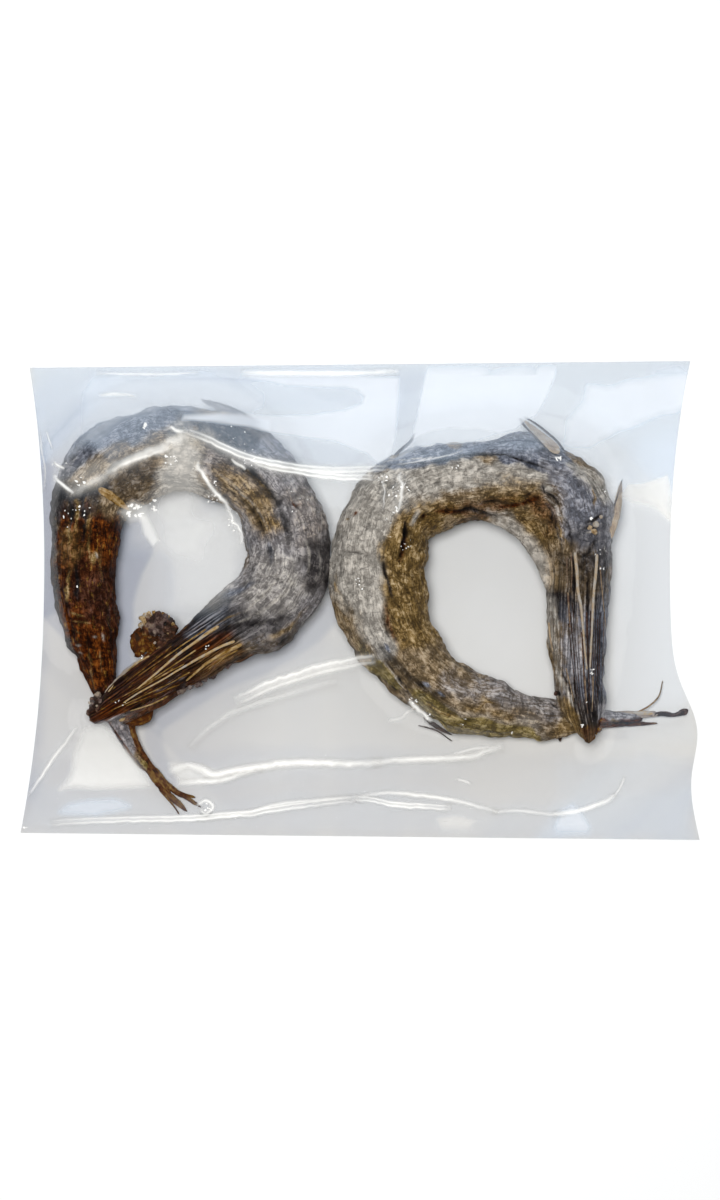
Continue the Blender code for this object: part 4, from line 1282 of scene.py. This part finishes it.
def new_group(name, inputs, outputs):
    """A shader node group, its Shade, its inputs and the node of its outputs.

    An input with no default is a vector, and every other socket is a number.
    """
    tree = bpy.data.node_groups.new(name, "ShaderNodeTree")
    for socket, default in inputs.items():
        kind = "NodeSocketVector" if default is None else "NodeSocketFloat"
        made = tree.interface.new_socket(socket, in_out="INPUT", socket_type=kind)
        if default is not None:
            made.default_value = default
    for socket in outputs:
        tree.interface.new_socket(socket, in_out="OUTPUT", socket_type="NodeSocketFloat")
    shade = Shade(tree)
    return tree, shade, shade.add("NodeGroupInput").outputs, shade.add("NodeGroupOutput")


@cache
def ragged_edge():
    """Gives the edge of a soft mask the same tears as the skin."""
    tree, shade, given, out = new_group("ragged edge", {"Mask": 0.0, "Tear": 0.0},
                                        ("Mask",))
    edge = shade.times(given["Mask"], shade.sum(given["Mask"], -1.0, 1.0))
    torn = shade.sum(edge, given["Tear"], given["Mask"])
    shade.wire(out, {"Mask": shade.between(torn, 0.04, 0.96)})
    return tree


@cache
def dried_grain():
    """Mottle, fibres, wrinkles, oily patches and relief of dried skin or bone."""
    tree, shade, given, out = new_group(
        "dried grain", {"Vector": None, "Flow": None, "Size": 1.0},
        ("Mottle", "Coarse", "Fibre", "Strand", "Wrinkle", "Oil", "Height"))
    place = shade.scale(given["Vector"], given["Size"])
    swirl = shade.noise(place, 260.0, detail=2.0, rough=0.5, output="Color")
    swirl = shade.scale(shade.moved(swirl, (-0.5, -0.5, -0.5)), 0.0032)
    warped = shade.moved(place, swirl)
    flow = shade.moved(given["Flow"], shade.scale(swirl, 0.5))
    mottle = shade.contrast(shade.noise(warped, 400.0, detail=6.0, rough=0.72))
    coarse = shade.contrast(shade.noise(warped, 150.0, detail=3.0, rough=0.6))
    fibre = shade.stretched(flow, (150.0, 1050.0, 1.0))
    fibre = shade.contrast(shade.noise(fibre, 1.0, detail=4.0, rough=0.62))
    strand = shade.stretched(given["Flow"], (34.0, 1250.0, 1.0))
    strand = shade.contrast(shade.noise(strand, 1.0, detail=4.0, rough=0.6))
    oil = shade.noise(place, 95.0, detail=3.0, rough=0.5)
    lines = shade.math("ABSOLUTE", shade.sum(shade.noise(warped, 230.0), 1.0, -0.5))
    wrinkle = shade.between(lines, 0.045, 0.0)
    height = shade.total(0.0, (wrinkle, -0.45), (fibre, 0.45), (mottle, 0.5))
    shade.wire(out, {"Mottle": mottle, "Coarse": coarse, "Fibre": fibre,
                     "Strand": strand, "Wrinkle": wrinkle, "Oil": oil,
                     "Height": height})
    return tree


def skin_material(settings):
    """Smoked skin: browns, greys, gold and char, mottled, fibrous and wrinkled, with painted shade in
    its hollows.
    """
    material, shade, shader = new_material("smoked_skin")
    flow, red = shade.attribute("flow", "Vector"), shade.attribute("red")
    grain = shade.group(dried_grain(), {"Vector": shade.place(), "Flow": flow})
    tear = shade.total(-1.05, (grain["Fibre"], 1.2), (grain["Mottle"], 0.9))
    colour = settings.skin_brown
    for mask in MASKS:
        torn = shade.group(ragged_edge(), {"Mask": shade.attribute(mask), "Tear": tear})
        colour = shade.blend(colour, getattr(settings, f"skin_{mask}"), torn["Mask"])

    # drive is how light each grain of the skin is
    drive = shade.total(-0.05, (grain["Fibre"], 0.38), (grain["Mottle"], 0.38),
                        (grain["Coarse"], 0.36), (grain["Wrinkle"], -0.22))
    drive = shade.between(drive, 0.10, 0.92)
    calm = shade.total(0.42, (shade.attribute("gold"), -0.12),
                       (shade.attribute("grey"), 0.05), (shade.attribute("pale"), 0.15),
                       (red, -0.25))
    even = shade.blend(drive, (0.58, 0.58, 0.58), shade.between(calm, -0.2, 1.2))
    strand = shade.between(grain["Strand"], 0.12, 1.0)
    strand = shade.times(strand, shade.sum(red, -0.15, 1.0))
    drive = shade.blend(even, strand, shade.attribute("strand"))
    light = shade.math("POWER", drive, 1.5)

    colour = shade.gamma(colour, shade.sum(drive, -0.45, 1.30))
    worn = shade.times(shade.between(drive, 0.5, 0.95), shade.between(red, 0.9, -0.4))
    colour = shade.blend(colour, settings.skin_pale, shade.times(worn, 0.34))
    fleck = shade.stretched(flow, (230.0, 560.0, 1.0))
    fleck = shade.noise(fleck, 1.0, detail=3.0, rough=0.6)
    fleck = shade.times(shade.between(fleck, 0.57, 0.68), red)
    colour = shade.blend(colour, settings.skin_amber, shade.times(fleck, 0.65))
    # painted shade: the skin darkens in its hollows and creases
    deep = shade.sum(shade.attribute("cavity"), -0.8, 1.0)
    colour = shade.scale(colour, shade.times(shade.sum(light, 2.35, 0.26), deep))
    shade.wire(shader, {
        "Base Color": colour, "Roughness": shade.sum(grain["Oil"], -0.45, 0.8),
        "Specular IOR Level": shade.sum(red, -0.24, 0.3),
        "Normal": shade.bump(grain["Height"], 0.75, 1.1 * MM)})
    return material


def scrap_material(settings):
    """Bones, fins and scraps: charred to pale by their tone, and grey or warm."""
    material, shade, shader = new_material("dried_scrap")
    grain = shade.group(dried_grain(), {
        "Vector": shade.place(), "Flow": shade.attribute("flow", "Vector"), "Size": 0.8})
    tone = shade.sum(shade.sum(grain["Mottle"], 0.34, -0.17), 1.0,
                     shade.attribute("tone"))
    tone = shade.sum(shade.sum(grain["Fibre"], 0.30, -0.15), 1.0, tone)
    warm = shade.add("ShaderNodeValToRGB", {"Fac": tone})
    stops = ((0.0, SOOT), (0.22, settings.skin_red), (0.48, settings.skin_amber),
             (0.75, settings.bone_tan), (1.0, settings.skin_pale))
    elements = warm.color_ramp.elements
    while len(elements) < len(stops):
        elements.new(0.5)
    for element, (at, stop) in zip(elements, stops):
        element.position = at
        element.color = (*stop, 1.0)
    cool = shade.blend(settings.skin_char, settings.skin_grey,
                       shade.between(tone, 0.0, 0.6))
    cool = shade.blend(cool, settings.skin_pale, shade.between(tone, 0.5, 1.1))
    shade.wire(shader, {
        "Base Color": shade.blend(warm.outputs["Color"], cool, shade.attribute("cool")),
        "Roughness": shade.sum(grain["Oil"], -0.4, 0.75), "Specular IOR Level": 0.2,
        "Normal": shade.bump(grain["Height"], 0.6, 0.6 * MM)})
    return material


def film_material(settings):
    """Clear film: it lets light through and gleams, with painted highlights, painted reflections of the
    sky, and painted shadow and light, pane by pane.
    """
    material, shade, shader = new_material("clear_film")
    place = shade.place()
    crumple = shade.noise(place, 420.0, detail=3.0, rough=0.6)
    height = shade.sum(crumple, shade.attribute("crinkle"),
                       shade.noise(place, 60.0, detail=2.0, rough=0.5))
    normal = shade.bump(height, 0.6, 0.8 * MM)
    # painted shadow and painted light: the shade mask makes what the film lets through darker and bluer,
    # or clearer where it is below 0
    white, veil, dim = [shade.attribute(mask) for mask in ("white", "veil", "shade")]
    tint = shade.blend(settings.film_tint, PAINTED_SHADOW_TINT, dim)
    tint = shade.blend(tint, PAINTED_LIGHT_TINT, shade.sum(dim, -1.0))
    gleam = shade.add("ShaderNodeBsdfGlossy", {"Roughness": settings.film_gloss,
                                               "Normal": normal}).outputs[0]
    glance = shade.add("ShaderNodeFresnel", {"IOR": FILM_IOR, "Normal": normal})
    glance = shade.math("MINIMUM", glance.outputs["Fac"], MOST_GLEAM)
    film = shade.mix(glance, shade.clear(tint), gleam)
    # painted highlight and painted reflection: a matte pale or bluish layer over the film, as strong as
    # the larger of their masks
    warm = shade.between(shade.sum(veil, -1.0, white), 0.0, 0.15)
    sky = shade.blend(settings.film_sky_reflection, PAINTED_SKY_REFLECTION, shade.between(veil, 0.15, 0.6))
    shade.wire(shader, {"Base Color": shade.blend(sky, PAINTED_PANE_HIGHLIGHT, warm),
                        "Roughness": HAZE_ROUGHNESS})
    share = shade.add("ShaderNodeMath", {0: white, 1: veil}, operation="MAXIMUM",
                      use_clamp=True).outputs[0]
    film_with_painted_light = shade.mix(share, film, shader.outputs[0])
    return finish_clear(material, shade, film_with_painted_light, settings)


def painted_highlight_material(settings):
    """The painted highlight of folded and crumpled film, clear where it has none."""
    material, shade, shader = new_material("film_shine")
    shade.wire(shader, {"Base Color": GLEAM, "Roughness": HAZE_ROUGHNESS})
    gleam = shade.mix(shade.attribute("white"), shade.clear(), shader.outputs[0])
    return finish_clear(material, shade, gleam, settings)


def finish_clear(material, shade, look, settings):
    """Lets a clear material's shadow be no more than the film's own tint."""
    path = shade.add("ShaderNodeLightPath").outputs["Is Shadow Ray"]
    out = material.node_tree.nodes["Material Output"]
    shade.wire(out, {"Surface": shade.mix(path, look, shade.clear(settings.film_tint))})
    return material


# ---- the pieces

def paint_skin(fish, points):
    """Shares of each colour at each point of a skin, and how deep its folds are."""
    across, down = seen(points)
    tear = bumps(points, TEAR_SIZE, seed=31, octaves=3)
    worn = bumps(points, WEAR_SIZE, seed=37, octaves=2)
    shares = {mask: np.zeros(len(points)) for mask in MASKS}
    depth = np.zeros(len(points))

    def lay(mask, share):
        for other in MASKS:
            shares[other] *= 1 - share
        shares[mask] += share

    for mask, strength, soft, corners in fish.patches:
        ragged = (PATCH_TEAR + SOFT_TEAR * soft) * tear + PATCH_GROWN * soft
        lay(mask, strength * patch_share(across, down, corners, PATCH_EDGE * soft,
                                         ragged))
    for mask, strength, half, fold, places in fish.strokes:
        away, along = away_from_line(across + STROKE_SWAY[0] * worn,
                                     down + STROKE_SWAY[1] * tear, places)
        profile = bell(away, half) * bow(along, STROKE_END, STROKE_TAPER)
        lay(mask, np.clip(strength * profile * (1 + STROKE_WORN * worn), 0, 1))
        depth += fold * profile

    # the material blends the masks one over another, so each share is made
    # a share of what the later ones leave
    over = np.zeros(len(points))
    for mask in reversed(MASKS):
        share = shares[mask].copy()
        shares[mask] = share / np.maximum(1 - over, 1e-6)
        over += share
    return {mask: np.clip(share, 0, 1) for mask, share in shares.items()}, depth


def skin_relief(s, side, points, flow, folds):
    """How far the skin stands out, in metres, and how much painted shade each place gets for how deep it
    lies.
    """
    head = 1 - ramp(s, HEAD_END, HEAD_BLEND)
    fine = (1 - head) * 0.34 * bumps(flow_grid(flow, 3.0, 8), 1.0, seed=17)
    fine += (1 - head) * 0.46 * bumps(flow_grid(flow, 16, 2.6), 1.0, seed=23)
    fine += head * 1.1 * bumps(flow_grid(flow, 45, 2.2), 1.0, seed=41, octaves=2)
    fine += 0.42 * bumps(points, WEAR_SIZE, seed=57, octaves=2)
    fine -= folds
    edge = ramp(np.abs(side), 0.85, 0.35)
    relief = fine + (0.9 + 0.8 * edge) * bumps(points, DENT_SIZE, seed=3, octaves=2)
    relief = np.clip(relief - 0.6, -4, 0.5 + 1.2 * edge - 0.6 * head) * MM
    return relief, np.clip(-fine * 0.8 - 0.1, 0, 1)


def make_body(fish, material):
    """A fish's whole skin, from its snout to the root of its tail fin."""
    name, length = fish.name + "_body", fish.body_end + fish.snout

    def place(u, v):
        s = u * length - fish.snout
        angle = (v - 0.5) * 2 * np.pi
        # the columns stand closer on the belly, which is on top
        angle = angle - 0.42 * np.sin(angle) - 0.06 * np.sin(2 * angle)
        side = np.sin(angle)
        side = np.where(np.cos(angle) < 0, np.sign(side) * (2 - np.abs(side)), side)
        _, _, wide, high, _ = fish.read(s)
        flow = flat_points(s, angle * (wide + high) / 2)
        plain = fish.surface(s, angle)
        masks, folds = paint_skin(fish, plain)
        folds = np.where(np.cos(angle) > -0.2, folds, 0)
        relief, cavity = skin_relief(s, side, plain, flow, folds)
        relief *= np.clip((wide + high) / THICK_FISH, 0.2, 1)
        across, down = seen(plain)
        for reach, inward, places in fish.trims:
            away, _ = away_from_line(across, down, places)
            relief -= inward * MM * bell(away, reach)
        relief = np.maximum(relief, -0.62 * np.minimum(wide, high))
        combed = fish.combed * (1 - ramp(s, COMB_END, HEAD_BLEND))
        masks.update(flow=flow, cavity=cavity, strand=combed)
        return under_film(fish.surface(s, angle, relief)), masks

    mesh = grid_mesh(name, round(length / SKIN_CELL), SKIN_AROUND, place, weld=True)
    show(name, mesh, material)


def make_strip(name, rows, tone, cool, rough, seed, fish=None):
    """A closed strip along rows of centre, half width and thickness.

    It is painted as the fish's skin is where a fish is given.
    """
    line = smooth_route(rows)
    along = passed(np.linalg.norm(np.diff(line[:, :3], axis=0), axis=1))
    length = along[-1]
    widest = line[:, 3].max()
    cell = np.clip(widest / 4, FINEST_CELL, COARSEST_CELL)

    def place(u, v):
        s = u * length
        x, y, z, wide, thin = columns_at(s, along, line)
        ahead, behind = np.minimum(s + MM, length), np.maximum(s - MM, 0)
        heading = (np.stack(columns_at(ahead, along, line[:, :3]), axis=-1)
                   - np.stack(columns_at(behind, along, line[:, :3]), axis=-1))
        heading /= np.linalg.norm(heading, axis=1)[:, None]
        across = np.stack((heading[:, 1], -heading[:, 0], 0 * s), axis=-1)
        across /= np.linalg.norm(across, axis=1)[:, None]
        up = np.cross(across, heading)
        from_end = np.minimum(1, np.minimum(u, 1 - u) * length / (2 * widest))
        cap = np.sqrt(np.clip(1 - (1 - from_end) ** 2, 0, 1))
        angle = 2 * np.pi * v
        out, rise = np.cos(angle) * wide * cap, np.sin(angle) * thin * cap
        points = (np.stack((x, y, z), axis=-1) + across * out[:, None]
                  + up * rise[:, None])
        bump = 0.7 * bumps(points, (1.2 * MM + 2.2 * rough * MM), seed, octaves=2)
        bump += 0.5 * bumps(flow_grid(flat_points(s, out), 14, 1.6), 1.0, seed + 5,
                            octaves=2)
        push = np.minimum(rough * MM, 0.8 * widest) * bump * cap
        points += (across * np.cos(angle)[:, None] + up * np.sin(angle)[:, None]
                   ) * push[:, None]
        masks = {"flow": flat_points(s, out + 2 * rise), "cool": np.full_like(s, cool),
                 "tone": tone + (0.1 + 0.25 * rough) * bump}
        if fish:
            masks.update(paint_skin(fish, points)[0])
            # painted shade in the hollows of the strip's bumps
            masks["cavity"] = np.clip(-0.5 * bump, 0, 1)
        return under_film(points), masks

    around = int(np.clip(round(4 * widest / cell), 10, 28))
    return grid_mesh(name, max(8, round(length / cell)), around, place, weld=True)


def fibre_places(fish):
    """Half width, tone and places of each fine fibre that fills a head."""
    count, grey, *ends = fish.fibres
    ends = np.array(ends, float)
    for number in range(count):
        same = np.full(4, number)
        chance = (lattice(same, np.arange(4), same * 0, seed=77) + 1) / 2
        share = (number + chance[0]) / count
        root = ends[0] + (ends[1] - ends[0]) * share
        tip = ends[2] + (ends[3] - ends[2]) * share
        t = np.linspace(0.30 * chance[1], 1 - 0.25 * chance[2], 6)
        sway = 0.8 * np.sin(5 * t + number)
        places = root + (tip - root) * t[:, None] + np.stack((0 * t, sway), axis=-1)
        tone = 0.02 + (0.20 + 0.85 * grey) * chance[0] * chance[3]
        yield 0.5 + 0.4 * chance[3], tone, places


def make_bones(fish, material):
    """The jaw bones, gill rays and fibres that stand out of a fish's head."""
    strips = []
    for number, (half, tone, places) in enumerate((*fish.bones, *fibre_places(fish))):
        path = landed(smooth_line(places, BONE_STEP), fish_top)
        t = np.linspace(0, 1, len(path))
        swell = 0.36 * half * (1 - 0.5 * t)
        path[:, 2] -= BONE_SUNK
        rows = np.column_stack((path / MM, swell, swell * 0.8))
        strips.append(make_strip(f"bone_{number}", rows, tone, fish.fibres[1],
                                 BONE_ROUGH, seed=80 + number))
    name = fish.name + "_jaw_bones"
    show(name, join_meshes(name, strips), material)


def make_scraps(skin, scrap):
    """Fins, tail rays and jaw edges, each a piece of its own."""
    for number, (name, slot, tone, cool, rough, rows) in enumerate(SCRAPS):
        fish = None
        if slot == "smoked_skin":
            fish = LEFT if name.startswith("left") else RIGHT
        mesh = make_strip(name, rows, tone, cool, rough, seed=140 + 10 * number,
                          fish=fish)
        show(name, mesh, skin if fish else scrap)


def make_lump(across, down, height, radius, tone, cool):
    """A rough ball, seen at a place in the picture."""
    middle = landed([(across, down)], lambda x, y: np.full_like(x, height * MM))[0]
    shape = bmesh.new()
    bmesh.ops.create_icosphere(shape, subdivisions=LUMP_FINENESS, radius=1)
    mesh = mesh_of("lump", shape)
    unit = corners_of(mesh)
    points = middle + unit * radius * MM
    coarse = bumps(points, 2.2 * MM, seed=61)
    fine = bumps(points, 0.9 * MM, seed=67, octaves=2)
    points += unit * (radius * MM * (0.16 + 0.5 * coarse + 0.22 * fine))[:, None]
    points = under_film(points)
    paint(mesh, points, {
        "tone": tone + 0.10 * coarse + 0.12 * fine, "cool": np.full(len(points), cool),
        "flow": points * LUMP_GRAIN})
    return mesh


def make_lumps(material):
    """The crust inside the left ring, and the knobs of the snouts and gills."""
    for name, lumps in LUMPS:
        mesh = join_meshes(name, [make_lump(*lump) for lump in lumps])
        show(name, mesh, material)


def put_in_order(shape):
    """Orders corners and faces by place, as an extrusion leaves them at random."""
    for parts, place in ((shape.verts, lambda corner: corner.co),
                         (shape.faces, lambda face: face.calc_center_median())):
        for index, part in enumerate(sorted(parts, key=lambda part: place(part)[:])):
            part.index = index
        parts.sort()


def make_film(settings):
    """The pouch's film: an upper sheet over the fish and a flat lower one."""
    *field, masks = film_field()

    def place(u, v):
        i = np.rint(u * CELLS_ALONG).astype(int)
        j = np.rint(v * CELLS_ACROSS).astype(int)
        points = np.stack([values[i, j] for values in field], axis=-1)
        return points, {mask: share[i, j] for mask, share in masks.items()}

    mesh = grid_mesh("film", CELLS_ALONG, CELLS_ACROSS, place)
    shape = bmesh.new()
    shape.from_mesh(mesh)
    rim = [edge for edge in shape.edges if edge.is_boundary]
    skirt = bmesh.ops.extrude_edge_only(shape, edges=rim)["geom"]
    for part in skirt:
        if isinstance(part, bmesh.types.BMVert):
            part.co.z = LOWER_SHEET
    base_rim = [part for part in skirt if isinstance(part, bmesh.types.BMEdge)
                and part.is_boundary]
    bmesh.ops.triangle_fill(shape, use_beauty=True, use_dissolve=False,
                            edges=base_rim, normal=(0, 0, -1))
    bmesh.ops.recalc_face_normals(shape, faces=shape.faces)
    put_in_order(shape)
    shape.to_mesh(mesh)
    shape.free()
    mesh.shade_smooth()
    mesh.set_sharp_from_angle(angle=SHARP_EDGE)
    show("film_pouch", mesh, film_material(settings), stands_for="bag")


def make_fold(half, lines, painted_highlight_strength, rise, jag, places):
    """A ribbon of film on the crest of a fold, with its painted highlight as a mask."""
    line = smooth_line(places, FOLD_STEP)
    heading = np.gradient(line, axis=0)
    heading /= np.hypot(*heading.T)[:, None]
    beside = np.stack((-heading[:, 1], heading[:, 0]), axis=-1)
    count = len(line) - 1
    shift = jag * bumps(flat_points(np.arange(count + 1) / 7.0, line[:, 1] / 40), 1,
                        seed=91, octaves=2)

    def place(u, v):
        i = np.rint(u * count).astype(int)
        offset = 2 * v - 1
        wide = half * (1 + 0.25 * shift[i] / (jag + 1))
        aside = shift[i] + offset * 1.5 * wide
        points = landed(line[i] + beside[i] * aside[:, None], film_over)
        points[:, 2] += (FOLD_LIFT + FOLD_CROWN * rise * (1 - offset ** 2)) * MM
        edge = 1 - offset ** 4
        if lines == 1:
            shine = bell(offset, 0.42)
        else:
            shine = (bell(offset - 0.38, 0.17) + 0.85 * bell(offset + 0.36, 0.15)
                     + 0.4 * bell(offset, 0.6))
        taper = bow(u, 0, 0.5)
        uneven = 1 + (0.12 + 0.25 * min(jag, 1)) * bumps(points, 5 * MM, seed=93,
                                                         octaves=2)
        return points, {"white": np.clip(painted_highlight_strength * shine * edge * taper * uneven, 0, 1)}

    return grid_mesh("fold", count, CELLS_OVER_FOLD, place)


def make_facet(middle, size, chance, number, row):
    """One small facet of crumpled film with a painted glint, bent to the film round its middle."""
    shape = bmesh.new()
    bmesh.ops.create_circle(shape, cap_ends=True, segments=FACET_SIDES, radius=1)
    mesh = mesh_of("facet", shape)
    flat = corners_of(mesh)[:, :2]
    long, narrow = size * (0.7 + 0.5 * chance[2]), size * (0.5 + 0.3 * chance[3])
    uneven = bumps(flat_points(flat[:, 0] + number, flat[:, 1] + row), 0.7, seed=321,
                   octaves=1)
    flat = flat * (long, narrow) * (1 + 0.4 * uneven)[:, None]
    lean = 2 * np.pi * chance[4]
    spin = np.array(((np.cos(lean), -np.sin(lean)), (np.sin(lean), np.cos(lean))))
    points = landed(middle + flat @ spin.T, film_over)
    points[:, 2] += FACET_LIFT
    paint(mesh, points, {"white": np.full(len(points), 0.85 + 0.15 * chance[5])})
    return mesh


def make_glints():
    """Small facets of crumpled film, each a painted glint, in clusters."""
    facets = []
    for row, (across, down, reach, size, count) in enumerate(GLINTS):
        for number in range(count):
            same = np.full(6, number)
            chance = lattice(same, np.arange(6), same * 0 + row, seed=311)
            turn, far = np.pi * chance[0], reach * abs(chance[1]) ** 0.6
            middle = np.array((across + far * np.cos(turn), down + far * np.sin(turn)))
            facets.append(make_facet(middle, size, chance, number, row))
    return join_meshes("film_glints", facets)


def make_painted_highlights(settings):
    """The painted highlights on the crests of the film's folds and on its crumpled facets."""
    material = painted_highlight_material(settings)
    folds = join_meshes("film_folds", [make_fold(*fold) for fold in FOLDS])
    show("film_folds", folds, material)
    show("film_glints", make_glints(), material)


# ---- the stage

def add_light(name, energy, size, place, colour, glossy):
    """A rectangular light at place that faces the pouch."""
    lamp = bpy.data.lights.new(name, "AREA")
    lamp.energy, lamp.color, lamp.shape = energy, colour, "RECTANGLE"
    lamp.size, lamp.size_y = size
    light = bpy.data.objects.new(name, lamp)
    bpy.context.scene.collection.objects.link(light)
    light.location = place
    light.rotation_euler = Vector(place).to_track_quat("Z", "Y").to_euler()
    light.visible_glossy = glossy


def make_floor():
    """The pale floor that the pouch lies on."""
    shape = bmesh.new()
    bmesh.ops.create_grid(shape, x_segments=8, y_segments=8, size=FLOOR_HALF)
    mesh = mesh_of("floor", shape)
    material, shade, shader = new_material("pale_floor")
    tone = shade.noise(shade.place(), scale=3.0, detail=2.0, rough=0.5)
    shade.wire(shader, {"Base Color": shade.blend(*FLOOR_COLOURS, tone),
                        "Roughness": 0.8})
    mesh.materials.append(material)
    floor = bpy.data.objects.new("floor", mesh)
    bpy.context.scene.collection.objects.link(floor)


def make_stage(settings):
    """Pale floor, soft studio light, and the camera nearly straight above."""
    make_floor()
    add_light("window", settings.window_power, *WINDOW, glossy=True)
    add_light("top", settings.top_power, *TOP, glossy=False)

    scene = bpy.context.scene
    scene.world = bpy.data.worlds.new("studio")
    scene.world.use_nodes = True
    air = Shade(scene.world.node_tree)
    reflected = air.add("ShaderNodeLightPath").outputs["Is Glossy Ray"]
    air.wire(scene.world.node_tree.nodes["Background"], {
        "Strength": air.sum(reflected, SKY_IN_GLEAMS, SKY_STRENGTH),
        "Color": SKY_COLOUR})

    lens = bpy.data.cameras.new("camera")
    lens.sensor_width, lens.lens, lens.clip_start = SENSOR, LENS, 10 * MM
    camera = bpy.data.objects.new("camera", lens)
    scene.collection.objects.link(camera)
    tilt, distance = settings.camera_tilt, settings.camera_distance
    camera.location = Vector(CAMERA_TARGET) + Vector(
        (0, -distance * np.sin(tilt), distance * np.cos(tilt)))
    camera.rotation_euler = (tilt, 0, 0)
    scene.camera = camera
    scene.view_settings.view_transform = "Standard"
    scene.view_settings.look = "None"


# ---- operators

class POUCH_OT_fish(bpy.types.Operator):
    """Build both fish: the skins, the jaw bones and the loose parts"""
    bl_idname = "pouch.fish"
    bl_label = "Fish"

    def execute(self, context):
        settings = context.scene.pouch_settings
        skin = skin_material(settings)
        scrap = scrap_material(settings)
        for fish in (LEFT, RIGHT):
            make_body(fish, skin)
            make_bones(fish, scrap)
        make_scraps(skin, scrap)
        make_lumps(scrap)
        return {"FINISHED"}


class POUCH_OT_film(bpy.types.Operator):
    """Draw the film over the fish"""
    bl_idname = "pouch.film"
    bl_label = "Film"

    def execute(self, context):
        make_film(context.scene.pouch_settings)
        make_painted_highlights(context.scene.pouch_settings)
        return {"FINISHED"}


class POUCH_OT_stage(bpy.types.Operator):
    """Add the floor, the lights and the camera"""
    bl_idname = "pouch.stage"
    bl_label = "Stage"

    def execute(self, context):
        make_stage(context.scene.pouch_settings)
        return {"FINISHED"}


class VIEW3D_PT_pouch(bpy.types.Panel):
    """Lists what builds the pouch"""
    bl_label = "Pouch"
    bl_idname = "VIEW3D_PT_pouch"
    bl_space_type = "VIEW_3D"
    bl_region_type = "UI"
    bl_category = "Pouch"

    def draw(self, context):
        for operator in OPERATORS:
            self.layout.operator(operator.bl_idname)
        for name in PouchSettings.__annotations__:
            self.layout.prop(context.scene.pouch_settings, name)


OPERATORS = (POUCH_OT_fish, POUCH_OT_film, POUCH_OT_stage)
CLASSES = (PouchSettings, *OPERATORS, VIEW3D_PT_pouch)


def register():
    """Registers the classes and the settings."""
    for made in CLASSES:
        bpy.utils.register_class(made)
    bpy.types.Scene.pouch_settings = PointerProperty(type=PouchSettings)


def unregister():
    """Takes the settings and the classes away."""
    del bpy.types.Scene.pouch_settings
    for made in reversed(CLASSES):
        bpy.utils.unregister_class(made)


def main():
    """Builds everything."""
    register()
    bpy.ops.pouch.stage()
    bpy.ops.pouch.fish()
    bpy.ops.pouch.film()


if __name__ == "__main__":
    main()
